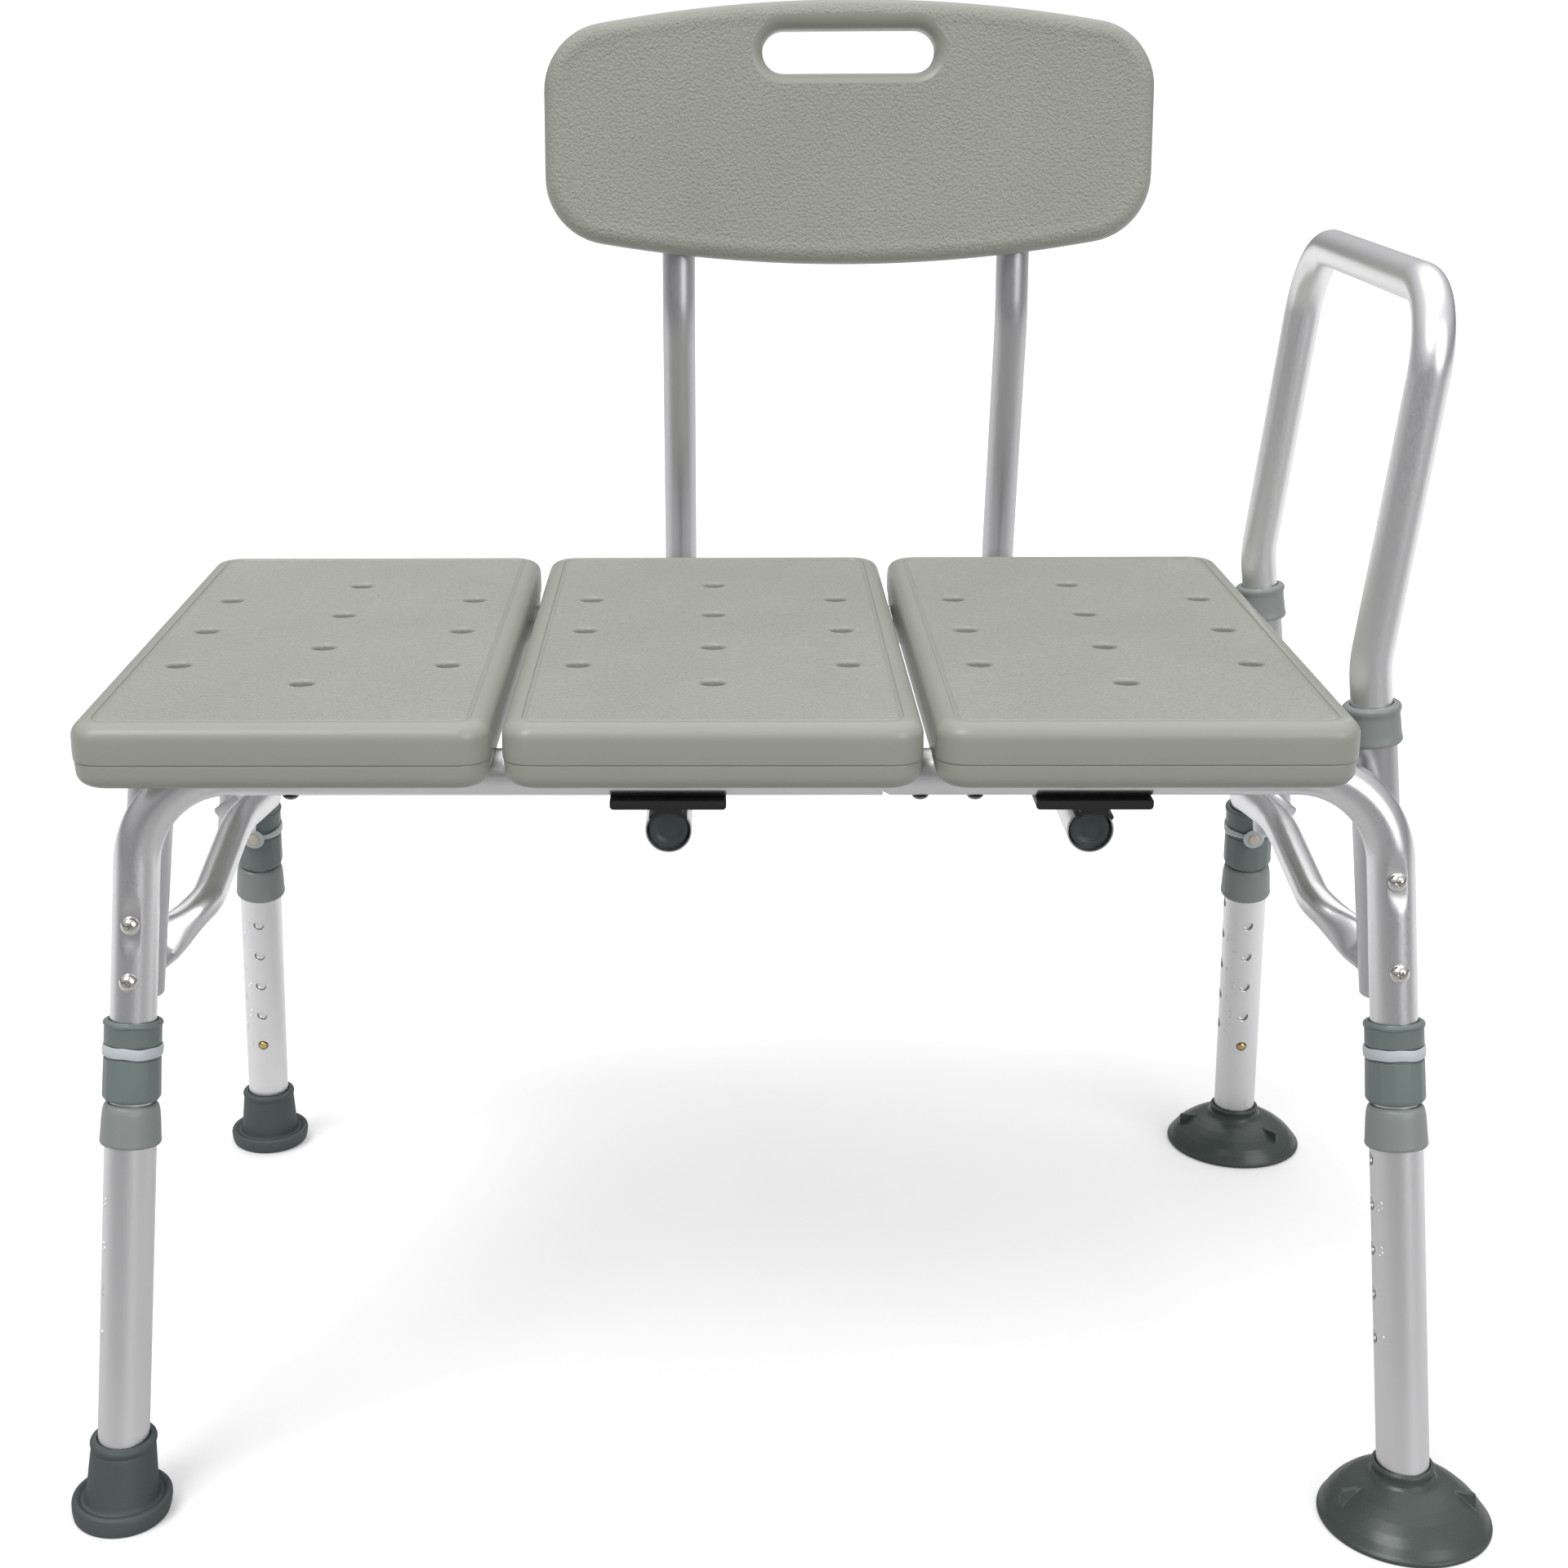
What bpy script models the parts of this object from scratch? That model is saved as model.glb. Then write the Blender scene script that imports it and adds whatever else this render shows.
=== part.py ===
"""Bath transfer bench: three seat panels on a swaged tube frame, with telescoping legs, a backrest
that slides into receivers under the seat, and an arm rail that lifts out of its sockets.
Metres, +Z up. The front is toward -Y and the arm rail is toward +X."""

import math

import bmesh
import bpy
from mathutils import Matrix, Vector

ENDS = {"front": -1, "rear": 1}
HANDS = {"left": -1, "right": 1}
LEGS = [(f"{end}_{hand}", HANDS[hand], ENDS[end]) for end in ENDS for hand in HANDS]
GAP = 0.0003  # between touching pieces

# The legs' axes stand symmetric about X = 0 and Y = 0, and the whole is moved so that its box is centred.
BOX_CENTRE = (0.00995, 0.0192)

# Frame rails, each bent down into a leg.
TUBE_R = 0.0127
FRAME_WALL = 0.0013
RAIL_Z = 0.414
RAIL_Y = 0.1604
CORNER_X = 0.3355
LEG_LEAN_X = 0.0581  # outward run for each metre down
LEG_LEAN_Y = 0.1774
LEG_STRETCH = math.sqrt(1 + LEG_LEAN_X**2 + LEG_LEAN_Y**2)  # length along a leg per metre of height
RAIL_BEND_R = 0.052
FRAME_END_Z = 0.2516
SPLICE_X = 0.065  # where the right tube is swaged into the left one
SWAGE_R = 0.0107
SWAGE_LENGTH = 0.040

# Telescoping legs.
INNER_R = 0.0124
INNER_WALL = 0.0012
INNER_END_Z = 0.058
SPIGOT_R = 0.0107
SPIGOT_TOP_Z = 0.290
OUTER_R = 0.0143
OUTER_WALL = 0.0014
OUTER_TOP_Z = 0.2302
HOLE_PITCH = 0.0254
HOLE_R = 0.0037
HOLE_COUNT = 5
BUTTON_Z = 0.0918
PIN_Z = 0.2628
PIN_R = 0.0021
PIN_HOLE_R = 0.0026
UPPER_COLLAR_Z = (0.2358, 0.2800)
UPPER_COLLAR_R = 0.0164
LOWER_COLLAR_Z = (0.2112, 0.2340)

# Feet: rubber tips on the left legs, suction cups on the right ones.
FOOT_BORE_R = 0.0151
TIP_R = 0.0281
TIP_HEIGHT = 0.0445
TIP_FLOOR_Z = 0.009
CUP_R = 0.0474
CUP_HEIGHT = 0.0325
CUP_FLOOR_Z = 0.0113
TUBE_END_RISE = 0.0032  # the tilted tube's low edge clears the bore's floor

# Arm sockets, bolted inside the legs, and the arm rail.
SOCKET_Y = 0.1395
SOCKET_X = 0.3465  # at SOCKET_REF_Z
SOCKET_REF_Z = 0.300
SOCKET_LEAN = 0.120
SOCKET_WALL = 0.0010
SOCKET_BOTTOM_Z = 0.278
SOCKET_TOP_Z = {"left": 0.4155, "right": 0.437}
ARM_R = 0.0111
ARM_WALL = 0.0013
ARM_END_Z = 0.372
ARM_KINK_Z = 0.467
ARM_LEAN_OUT = 0.112
ARM_TOP_Z = 0.664
ARM_BEND_R = 0.045
ARM_KINK_R = 0.07
ARM_COLLAR_Z = (0.4245, 0.446)
ARM_COLLAR_R = 0.0153

# Screws through leg and socket, at these heights on the leg's axis.
SCREW_Z = {"left": {"upper": 0.333, "lower": 0.3023}, "right": {"upper": 0.3565, "lower": 0.3075}}
SCREW_HEAD_R = 0.0052
SCREW_SHANK_R = 0.0021
SCREW_HOLE_R = 0.0026
SCREW_REACH = {"upper": 0.050, "lower": 0.060}

# Side braces, with flattened ends behind the sockets.
BRACE_R = 0.0095
BRACE_X = 0.318
BRACE_BEND_Y = 0.096
BRACE_BEND_Z = 0.3165
BRACE_BEND_R = 0.018
BRACE_APEX_Z = 0.330
BRACE_END_Y = 0.1235
BRACE_FLAT = (0.0022, 0.0118)  # half thickness and half width of the flattened end

# Seat panels.
PANEL_PITCH = 0.2253
PANEL_WIDTH = 0.2193
SEAT_DEPTH = 0.404
SEAT_X = -0.026
SEAT_Y = -0.0075
SEAT_TOP_Z = 0.454
SEAT_THICKNESS = 0.036
SEAT_CORNER_R = 0.016
SEAT_EDGE_R = 0.0085
DRAIN_R = 0.0065
DRAIN_PITCH = 0.0776
DRAIN_SIDE_X = 0.076
RAIL_GROOVE_R = 0.0137

# Backrest and its receivers.
BACK_X = 0.064
BACK_HALF_SPAN = 0.114
BACK_TUBE_R = 0.0111
BACK_WALL = 0.0012
RECEIVER_Z = 0.3803
RECEIVER_Y = (-0.160, 0.185)
RECEIVER_WALL = 0.0010
BACK_FRONT_Y = -0.1545
BACK_CORNER_Y = 0.3163
BACK_BEND_R = 0.050
BACK_KINK = (0.278, 0.600)
BACK_KINK_R = 0.10
BACK_TOP_Z = 0.787
BACK_LEAN = 0.1139
PLUG_R = 0.0108
PANEL_HALF_W = 0.2035
PANEL_HALF_H = 0.0858
PANEL_HALF_T = 0.015
PANEL_EDGE_R = 0.010
PANEL_BOW = 0.0145
PANEL_BOW_SPAN = 0.168
PANEL_CORNER_R = 0.044
PANEL_CENTRE = (0.2801, 0.7237)
SLOT_HALF_W = 0.0575
SLOT_HALF_H = 0.014
SLOT_RISE = 0.0525

# Saddle brackets, which hang the receivers from the rails.
PLATE_HALF_W = 0.03125
PLATE_T = 0.0052
BRACKET_DEPTH = 0.022
NECK_HALF_W = 0.0085
SADDLE_HALF_W = 0.0105
SADDLE_BORE_R = 0.0132

BEND_STEPS = 4
TUBE_SIDES = 12
HOLE_SIDES = 6
DRAIN_SIDES = 8
BUTTON_SIDES = 8
FOOT_SIDES = 16


def clear_scene():
    for obj in list(bpy.data.objects):
        bpy.data.objects.remove(obj)
    for collection in list(bpy.data.collections):
        bpy.data.collections.remove(collection)


def new_collection(name):
    collection = bpy.data.collections.new(name)
    bpy.context.scene.collection.children.link(collection)
    return collection


def material(name, colour, roughness, metallic=0.0):
    made = bpy.data.materials.new(name)
    made.use_nodes = True
    shader = made.node_tree.nodes["Principled BSDF"]
    shader.inputs["Base Color"].default_value = (*colour, 1)
    shader.inputs["Roughness"].default_value = roughness
    shader.inputs["Metallic"].default_value = metallic
    made.diffuse_color = (*colour, 1)
    return made


clear_scene()
PARTS = new_collection("bath_transfer_bench")
CUTTERS = new_collection("cutters")
ALUMINIUM = material("aluminium", (0.55, 0.55, 0.57), 0.35, 1.0)
SAGE_PLASTIC = material("sage_plastic", (0.39, 0.40, 0.34), 0.5)
GREY_PLASTIC = material("grey_plastic", (0.15, 0.18, 0.17), 0.45)
GREY_RUBBER = material("grey_rubber", (0.15, 0.18, 0.17), 0.75)
BLACK_PLASTIC = material("black_plastic", (0.02, 0.02, 0.02), 0.5)
BRASS = material("brass", (0.70, 0.47, 0.18), 0.25, 1.0)
NICKEL = material("nickel", (0.70, 0.66, 0.60), 0.2, 1.0)
CREAM_PLASTIC = material("cream_plastic", (0.80, 0.76, 0.68), 0.4)


def empty(name, matrix, parent=None):
    made = bpy.data.objects.new(name, None)
    made.empty_display_size = 0.03
    PARTS.objects.link(made)
    made.parent = parent
    made.matrix_local = matrix
    return made


def add(name, mesh, finish, parent, at=(0, 0, 0), turn=(0, 0, 0)):
    mesh.name = name
    mesh.materials.clear()
    mesh.materials.append(finish)
    mesh.shade_smooth()
    if mesh.polygons:
        mesh.set_sharp_from_angle(angle=math.radians(35))
    obj = bpy.data.objects.new(name, mesh)
    PARTS.objects.link(obj)
    obj.parent = parent
    obj.location = at
    obj.rotation_euler = turn
    return obj


def realised(obj):
    """The evaluated mesh of a working object, which is then removed."""
    graph = bpy.context.evaluated_depsgraph_get()
    mesh = bpy.data.meshes.new_from_object(obj.evaluated_get(graph))
    bpy.data.objects.remove(obj)
    return mesh


def welded(mesh):
    body = bmesh.new()
    body.from_mesh(mesh)
    bmesh.ops.remove_doubles(body, verts=body.verts, dist=1e-6)
    bmesh.ops.recalc_face_normals(body, faces=body.faces)
    body.to_mesh(mesh)
    body.free()
    return mesh


def rounded(corners):
    """A path through (point, bend radius) corners, each bend an arc."""
    points = [Vector(corner) for corner, _ in corners]
    path = [points[0]]
    for k in range(1, len(points) - 1):
        before = (points[k - 1] - points[k]).normalized()
        after = (points[k + 1] - points[k]).normalized()
        turn = math.pi - before.angle(after)
        radius = corners[k][1]
        if radius == 0:
            path.append(points[k])
            continue
        start = points[k] + before * radius * math.tan(turn / 2)
        centre = points[k] + (before + after).normalized() * radius / math.cos(turn / 2)
        axis = (start - centre).cross(points[k] - centre).normalized()
        steps = max(2, round(BEND_STEPS * turn / math.radians(80)))
        for i in range(steps + 1):
            path.append(centre + Matrix.Rotation(turn * i / steps, 3, axis) @ (start - centre))
    return path + [points[-1]]


def tube(name, path, radius, wall, finish, parent, at=(0, 0, 0), radius_at=None):
    """A hollow tube with open ends along a path. radius_at gives the radius where it is swaged down."""
    curve = bpy.data.curves.new(name, "CURVE")
    curve.dimensions = "3D"
    curve.bevel_depth = radius
    curve.bevel_resolution = TUBE_SIDES // 2 - 2
    spline = curve.splines.new("POLY")
    spline.points.add(len(path) - 1)
    for slot, point in zip(spline.points, path):
        slot.co = (*(point - Vector(at)), 1)
        slot.radius = radius_at(point) / radius if radius_at else 1
    route = bpy.data.objects.new(name + "_route", curve)
    PARTS.objects.link(route)
    obj = add(name, realised(route), finish, parent, at)
    shell = obj.modifiers.new("Wall", "SOLIDIFY")
    shell.thickness = wall
    shell.offset = -1
    return obj


def turned(
    name, profile, finish, parent, at=(0, 0, 0), turn=(0, 0, 0), ring=False, steps=TUBE_SIDES
):
    """A profile of (radius, height), down its outer side, turned about Z. A ring's is a closed loop."""
    mesh = bpy.data.meshes.new(name)
    edges = [(k, k + 1) for k in range(len(profile) - 1)]
    if ring:
        edges.append((len(profile) - 1, 0))
    mesh.from_pydata([(radius, 0, height) for radius, height in profile], edges, [])
    obj = add(name, mesh, finish, parent, at, turn)
    screw = obj.modifiers.new("Turn", "SCREW")
    screw.steps = steps
    screw.render_steps = steps
    screw.use_merge_vertices = True
    screw.merge_threshold = 1e-5
    return obj


def outline_solid(name, loops, half_thickness, edge_radius=0.0, edge_steps=1):
    """Flat outlines, the first outside and any others holes, extruded both ways with rounded edges."""
    curve = bpy.data.curves.new(name, "CURVE")
    curve.dimensions = "2D"
    curve.fill_mode = "BOTH"
    curve.extrude = half_thickness - edge_radius
    curve.bevel_depth = edge_radius
    curve.bevel_resolution = edge_steps
    for loop in loops:
        spline = curve.splines.new("POLY")
        spline.points.add(len(loop) - 1)
        spline.use_cyclic_u = True
        for slot, (x, y) in zip(spline.points, loop):
            slot.co = (x, y, 0, 1)
    flat = bpy.data.objects.new(name + "_outline", curve)
    PARTS.objects.link(flat)
    return welded(realised(flat))


def rods(name, lines, parent, sides=HOLE_SIDES):
    """A cutter made of round rods, each given as (start, end, radius)."""
    body = bmesh.new()
    for start, end, radius in lines:
        start, end = Vector(start), Vector(end)
        turn = (end - start).to_track_quat("Z", "Y").to_matrix().to_4x4()
        bmesh.ops.create_cone(
            body,
            cap_ends=True,
            segments=sides,
            radius1=radius,
            radius2=radius,
            depth=(end - start).length,
            matrix=Matrix.Translation((start + end) / 2) @ turn,
        )
    mesh = bpy.data.meshes.new(name)
    body.to_mesh(mesh)
    body.free()
    obj = bpy.data.objects.new(name, mesh)
    CUTTERS.objects.link(obj)
    obj.parent = parent
    obj.hide_render = True
    obj.display_type = "WIRE"
    return obj


def boolean(obj, cutter, operation="DIFFERENCE"):
    step = obj.modifiers.new(cutter.name, "BOOLEAN")
    step.operation = operation
    step.object = cutter


def arc(centre, radius, start, end, steps):
    """Points of an arc in degrees, ends included."""
    angles = [math.radians(start + (end - start) * k / steps) for k in range(steps + 1)]
    return [(centre[0] + radius * math.cos(a), centre[1] + radius * math.sin(a)) for a in angles]


def leg_point(side, end, height):
    drop = RAIL_Z - height
    return Vector((side * (CORNER_X + drop * LEG_LEAN_X), end * (RAIL_Y + drop * LEG_LEAN_Y), height))


def leg_frame(side, end):
    """Axes of a leg: origin on the floor, Z up along the leg, X nearly level to the right."""
    foot = leg_point(side, end, 0)
    up = (leg_point(side, end, RAIL_Z) - foot).normalized()
    across = Vector((1, 0, 0))
    across = (across - up * across.dot(up)).normalized()
    turn = Matrix((across, up.cross(across), up)).transposed()
    return Matrix.Translation(foot) @ turn.to_4x4()


def along(height):
    """Distance along a leg from the floor, for a height above it."""
    return height * LEG_STRETCH


def socket_point(side, end, height):
    return Vector((side * (SOCKET_X - SOCKET_LEAN * (height - SOCKET_REF_Z)), end * SOCKET_Y, height))


def seat_panels(bench):
    body = bmesh.new()
    size = (PANEL_WIDTH, SEAT_DEPTH, SEAT_THICKNESS, 1)
    bmesh.ops.create_cube(body, size=1, matrix=Matrix.Diagonal(size))
    upright = [e for e in body.edges if abs(e.verts[0].co.z - e.verts[1].co.z) > SEAT_THICKNESS / 2]
    bmesh.ops.bevel(body, geom=upright, offset=SEAT_CORNER_R, segments=4, profile=0.5, affect="EDGES")
    rims = [e for e in body.edges if abs(e.verts[0].co.z - e.verts[1].co.z) < 1e-6]
    bmesh.ops.bevel(body, geom=rims, offset=SEAT_EDGE_R, segments=2, profile=0.5, affect="EDGES")
    mesh = bpy.data.meshes.new("seat_panel")
    body.to_mesh(mesh)
    body.free()
    reach = SEAT_THICKNESS
    spots = [(0, (k - 1.5) * DRAIN_PITCH) for k in range(4)]
    spots += [(x, k * DRAIN_PITCH) for x in (-DRAIN_SIDE_X, DRAIN_SIDE_X) for k in (-1, 0, 1)]
    drains = [((x, y, -reach), (x, y, reach), DRAIN_R) for x, y in spots]
    low = RAIL_Z - (SEAT_TOP_Z - SEAT_THICKNESS / 2)
    grooves = []
    for end in ENDS.values():
        y = end * RAIL_Y - SEAT_Y
        grooves.append(((-PANEL_WIDTH, y, low), (PANEL_WIDTH, y, low), RAIL_GROOVE_R))
    for k, name in enumerate(("left", "middle", "right")):
        centre = (SEAT_X + (k - 1) * PANEL_PITCH, SEAT_Y, SEAT_TOP_Z - SEAT_THICKNESS / 2)
        panel = add(f"seat_panel_{name}", mesh, SAGE_PLASTIC, bench, centre)
        cutters = (
            rods(f"drains_{name}", drains, bench, DRAIN_SIDES),
            rods(f"grooves_{name}", grooves, bench, 12),
        )
        for cutter in cutters:
            cutter.location = centre
            boolean(panel, cutter)


def frame_rails(bench):
    """Each rail is two tubes: the right one is swaged down and pushed into the left one."""

    def swage(point):
        return SWAGE_R if point.x < SPLICE_X + 2 * GAP else TUBE_R

    rails = {}
    for name, side, end in LEGS:
        corners = [(leg_point(side, end, FRAME_END_Z), 0), (leg_point(side, end, RAIL_Z), RAIL_BEND_R)]
        stops = [SPLICE_X] if side < 0 else [SPLICE_X + 0.004, SPLICE_X + GAP, SPLICE_X - SWAGE_LENGTH]
        corners += [((x, end * RAIL_Y, RAIL_Z), 0) for x in stops]
        narrowed = swage if side > 0 else None
        path = rounded(corners)
        rails[name] = tube(
            f"frame_{name}", path, TUBE_R, FRAME_WALL, ALUMINIUM, bench, radius_at=narrowed
        )
    return rails


def arm_sockets(bench):
    sockets = {}
    for name, side, end in LEGS:
        top = SOCKET_TOP_Z[name.split("_")[1]]
        length = (top - SOCKET_BOTTOM_Z) * math.sqrt(1 + SOCKET_LEAN**2)
        bore = TUBE_R - SOCKET_WALL
        profile = [(TUBE_R, length), (TUBE_R, 0), (bore, 0), (bore, length)]
        lean = (0, -side * math.atan(SOCKET_LEAN), 0)
        foot = socket_point(side, end, SOCKET_BOTTOM_Z)
        sockets[name] = turned(f"arm_socket_{name}", profile, ALUMINIUM, bench, foot, lean, ring=True)
    return sockets


def arm_rail(bench):
    lean = (0, -math.atan(SOCKET_LEAN), 0)
    top_x = socket_point(1, 1, ARM_KINK_Z).x + ARM_LEAN_OUT * (ARM_TOP_Z - ARM_KINK_Z)
    corners = []
    for end in ENDS.values():
        leg = [
            (socket_point(1, end, ARM_END_Z), 0),
            (socket_point(1, end, ARM_KINK_Z), ARM_KINK_R),
            (Vector((top_x, end * SOCKET_Y, ARM_TOP_Z)), ARM_BEND_R),
        ]
        corners += leg if end < 0 else reversed(leg)
    on_axis = socket_point(1, -1, ARM_END_Z)
    tube("arm_rail", rounded(corners), ARM_R, ARM_WALL, ALUMINIUM, bench, on_axis)
    low = ARM_COLLAR_Z[0]
    height = (ARM_COLLAR_Z[1] - low) * math.sqrt(1 + SOCKET_LEAN**2)
    ledge = (SOCKET_TOP_Z["right"] - low) * math.sqrt(1 + SOCKET_LEAN**2) + GAP
    wide, narrow = TUBE_R + 2 * GAP, ARM_R + 2 * GAP
    outside = [(ARM_COLLAR_R - 0.0015, height), (ARM_COLLAR_R, height - 0.0015), (ARM_COLLAR_R, 0.001)]
    outside += [(ARM_COLLAR_R - 0.001, 0)]
    for end in ENDS:
        inside = [(wide, 0), (wide, ledge), (narrow, ledge), (narrow, height)]
        spot = socket_point(1, ENDS[end], low)
        turned(f"arm_collar_{end}", outside + inside, GREY_PLASTIC, bench, spot, lean, ring=True)


def brace_rings(side):
    """Centres, normals and half axes of a brace's sections, from its front end to its middle."""
    flat_t, flat_w = BRACE_FLAT
    end_x, end_z = SOCKET_X + 0.007, 0.2875
    inner_x, inner_z = SOCKET_X - 0.008, 0.3000
    corners = [
        ((inner_x, -BRACE_END_Y, inner_z), 0),
        ((BRACE_X, -BRACE_BEND_Y, BRACE_BEND_Z), BRACE_BEND_R),
        ((BRACE_X, -0.020, BRACE_APEX_Z - 0.0015), 0),
        ((BRACE_X, 0, BRACE_APEX_Z), 0),
    ]
    path = [Vector((end_x, -BRACE_END_Y, end_z))] + rounded(corners)
    middle = path[1].lerp(path[2], 0.4)
    path.insert(2, middle)
    sizes = [(flat_t, flat_w), (flat_t, flat_w), (0.0055, 0.0108)] + [(BRACE_R, BRACE_R)] * (len(path) - 3)
    rings = []
    normal = Vector((0, 1, 0))
    for k, (centre, size) in enumerate(zip(path, sizes)):
        ahead = path[min(k + 1, len(path) - 1)] - path[max(k - 1, 0)]
        if k == len(path) - 1:
            ahead = Vector((0, 1, 0))
        ahead.normalize()
        normal = (normal - ahead * normal.dot(ahead)).normalized()
        rings.append((centre, normal.copy(), ahead.cross(normal), size))
    for centre, thin, wide, (thickness, width) in rings:
        for k in range(12):
            angle = math.tau * k / 12
            point = centre + thin * thickness * math.sin(angle) + wide * width * math.cos(angle)
            yield Vector((side * point.x, point.y, point.z))


def side_braces(bench):
    braces = {}
    for hand, side in HANDS.items():
        body = bmesh.new()
        points = [body.verts.new(point) for point in brace_rings(side)]
        rings = [points[k : k + 12] for k in range(0, len(points), 12)]
        body.faces.new(rings[0])
        for first, second in zip(rings, rings[1:]):
            for k in range(12):
                body.faces.new((first[k], first[k - 1], second[k - 1], second[k]))
        bmesh.ops.recalc_face_normals(body, faces=body.faces)
        mesh = bpy.data.meshes.new("brace")
        body.to_mesh(mesh)
        body.free()
        brace = add(f"side_brace_{hand}", mesh, ALUMINIUM, bench)
        mirror = brace.modifiers.new("Rear half", "MIRROR")
        mirror.use_axis = (False, True, False)
        mirror.merge_threshold = 0.0001
        braces[hand] = brace
    return braces


def screws(legs, rails, sockets, braces):
    """Two screws through each front leg and its socket. The lower one also takes the brace's end."""
    for hand, heights in SCREW_Z.items():
        name = f"front_{hand}"
        for level, height in heights.items():
            spot = (0, 0, along(height))
            outer, reach = -0.030, SCREW_REACH[level]
            line = ((0, outer, 0), (0, reach + 0.006, 0), SCREW_HOLE_R)
            hole = rods(f"screw_hole_{hand}_{level}", [line], legs[name])
            hole.location = spot
            taken = [rails[name], sockets[name]] + ([braces[hand]] if level == "lower" else [])
            for piece in taken:
                boolean(piece, hole)
            face = TUBE_R + GAP
            dome = [(0, face + 0.0036), (0.0022, face + 0.0033), (0.0041, face + 0.0022)]
            head = [(SCREW_HEAD_R, face + 0.0006), (SCREW_HEAD_R, face)]
            shank = [(SCREW_SHANK_R, face), (SCREW_SHANK_R, -reach), (0, -reach)]
            turned(
                f"leg_screw_{name}_{level}",
                dome + head + shank,
                NICKEL,
                legs[name],
                spot,
                (math.pi / 2, 0, 0),
                steps=BUTTON_SIDES,
            )


def upper_collar(name, leg, pin_hole):
    low, high = (along(height) for height in UPPER_COLLAR_Z)
    step = along(FRAME_END_Z)
    wide, narrow, outer = TUBE_R + 0.0007, INNER_R + 0.0005, UPPER_COLLAR_R
    outside = [(outer - 0.0022, high), (outer - 0.0006, high - 0.0006), (outer, high - 0.0022)]
    outside += [(outer, low + 0.0035), (outer - 0.0018, low)]
    inside = [(narrow, low), (narrow, step - GAP), (wide, step - GAP), (wide, high)]
    boolean(turned(f"upper_collar_{name}", outside + inside, GREY_PLASTIC, leg, ring=True), pin_hole)


def lower_collar(name, leg):
    low, high = (along(height) for height in LOWER_COLLAR_Z)
    ledge = along(OUTER_TOP_Z) + GAP
    skirt, narrow = OUTER_R + 0.0005, INNER_R + 0.0005
    outside = [(0.0148, high), (0.0160, high - 0.0012), (0.0168, low + 0.0015), (0.0160, low)]
    inside = [(skirt, low), (skirt, ledge), (narrow, ledge), (narrow, high)]
    turned(f"lower_collar_{name}", outside + inside, GREY_PLASTIC, leg, ring=True)


def inner_tube(name, leg, pin_hole, button_hole):
    low, step, top = along(INNER_END_Z), along(FRAME_END_Z), along(SPIGOT_TOP_Z)
    wall = INNER_WALL
    outside = [(SPIGOT_R, top), (SPIGOT_R, step - GAP), (INNER_R, step - 0.0016), (INNER_R, low)]
    inside = [(INNER_R - wall, low), (INNER_R - wall, step - 0.0018)]
    inside += [(SPIGOT_R - wall, step), (SPIGOT_R - wall, top)]
    made = turned(f"inner_tube_{name}", outside + inside, ALUMINIUM, leg, ring=True)
    boolean(made, pin_hole)
    boolean(made, button_hole)


def outer_tube(name, end, leg, low):
    """The lower leg tube. The button's row of holes faces the bench's middle, a second row the left."""
    top = along(OUTER_TOP_Z)
    bore = OUTER_R - OUTER_WALL
    profile = [(OUTER_R, top), (OUTER_R, low), (bore, low), (bore, top)]
    made = turned(f"outer_tube_{name}", profile, ALUMINIUM, leg, ring=True)
    inner, outer = OUTER_R / 2, OUTER_R + 0.005
    first = along(BUTTON_Z)
    rows = []
    for k in range(HOLE_COUNT):
        height = first + k * HOLE_PITCH
        rows.append(((0, -end * inner, height), (0, -end * outer, height), HOLE_R))
        height += HOLE_PITCH / 2
        rows.append(((-inner, 0, height), (-outer, 0, height), HOLE_R))
    boolean(made, rods(f"leg_holes_{name}", rows, leg))


def snap_button(name, end, leg):
    cap = OUTER_R + 0.0017
    dome = [(0, cap), (0.0017, cap - 0.0003), (0.0027, cap - 0.0011), (0.0031, cap - 0.0022)]
    dome += [(0.0031, 0.0095)]
    foot = [(0.0045, 0.0095), (0.0045, 0.0080), (0, 0.0080)]
    spot = (0, 0, along(BUTTON_Z))
    outward = (end * math.pi / 2, 0, 0)
    turned(f"snap_button_{name}", dome + foot, BRASS, leg, spot, outward, steps=BUTTON_SIDES)


def lock_pin(name, end, leg):
    seat, face = UPPER_COLLAR_R + 2 * GAP, UPPER_COLLAR_R + 0.0036
    head = [(0, face), (0.0060, face), (0.0070, face - 0.0010), (0.0070, seat)]
    shank = [(PIN_R, seat), (PIN_R, 0.0072), (PIN_R - 0.0006, 0.0066), (0, 0.0066)]
    spot = (0, 0, along(PIN_Z))
    outward = (end * math.pi / 2, 0, 0)
    turned(f"lock_pin_{name}", head + shank, CREAM_PLASTIC, leg, spot, outward, steps=BUTTON_SIDES)


def tip_profile():
    bore = [(0, TIP_FLOOR_Z), (FOOT_BORE_R, TIP_FLOOR_Z), (FOOT_BORE_R, TIP_HEIGHT)]
    outside = [(0.0170, TIP_HEIGHT), (0.0183, TIP_HEIGHT - 0.0014), (0.0200, 0.0125), (0.0225, 0.0108)]
    outside += [(0.0262, 0.0100), (TIP_R, 0.0085), (TIP_R, 0.0012), (TIP_R - 0.0015, 0), (0, 0)]
    return bore + outside


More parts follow.
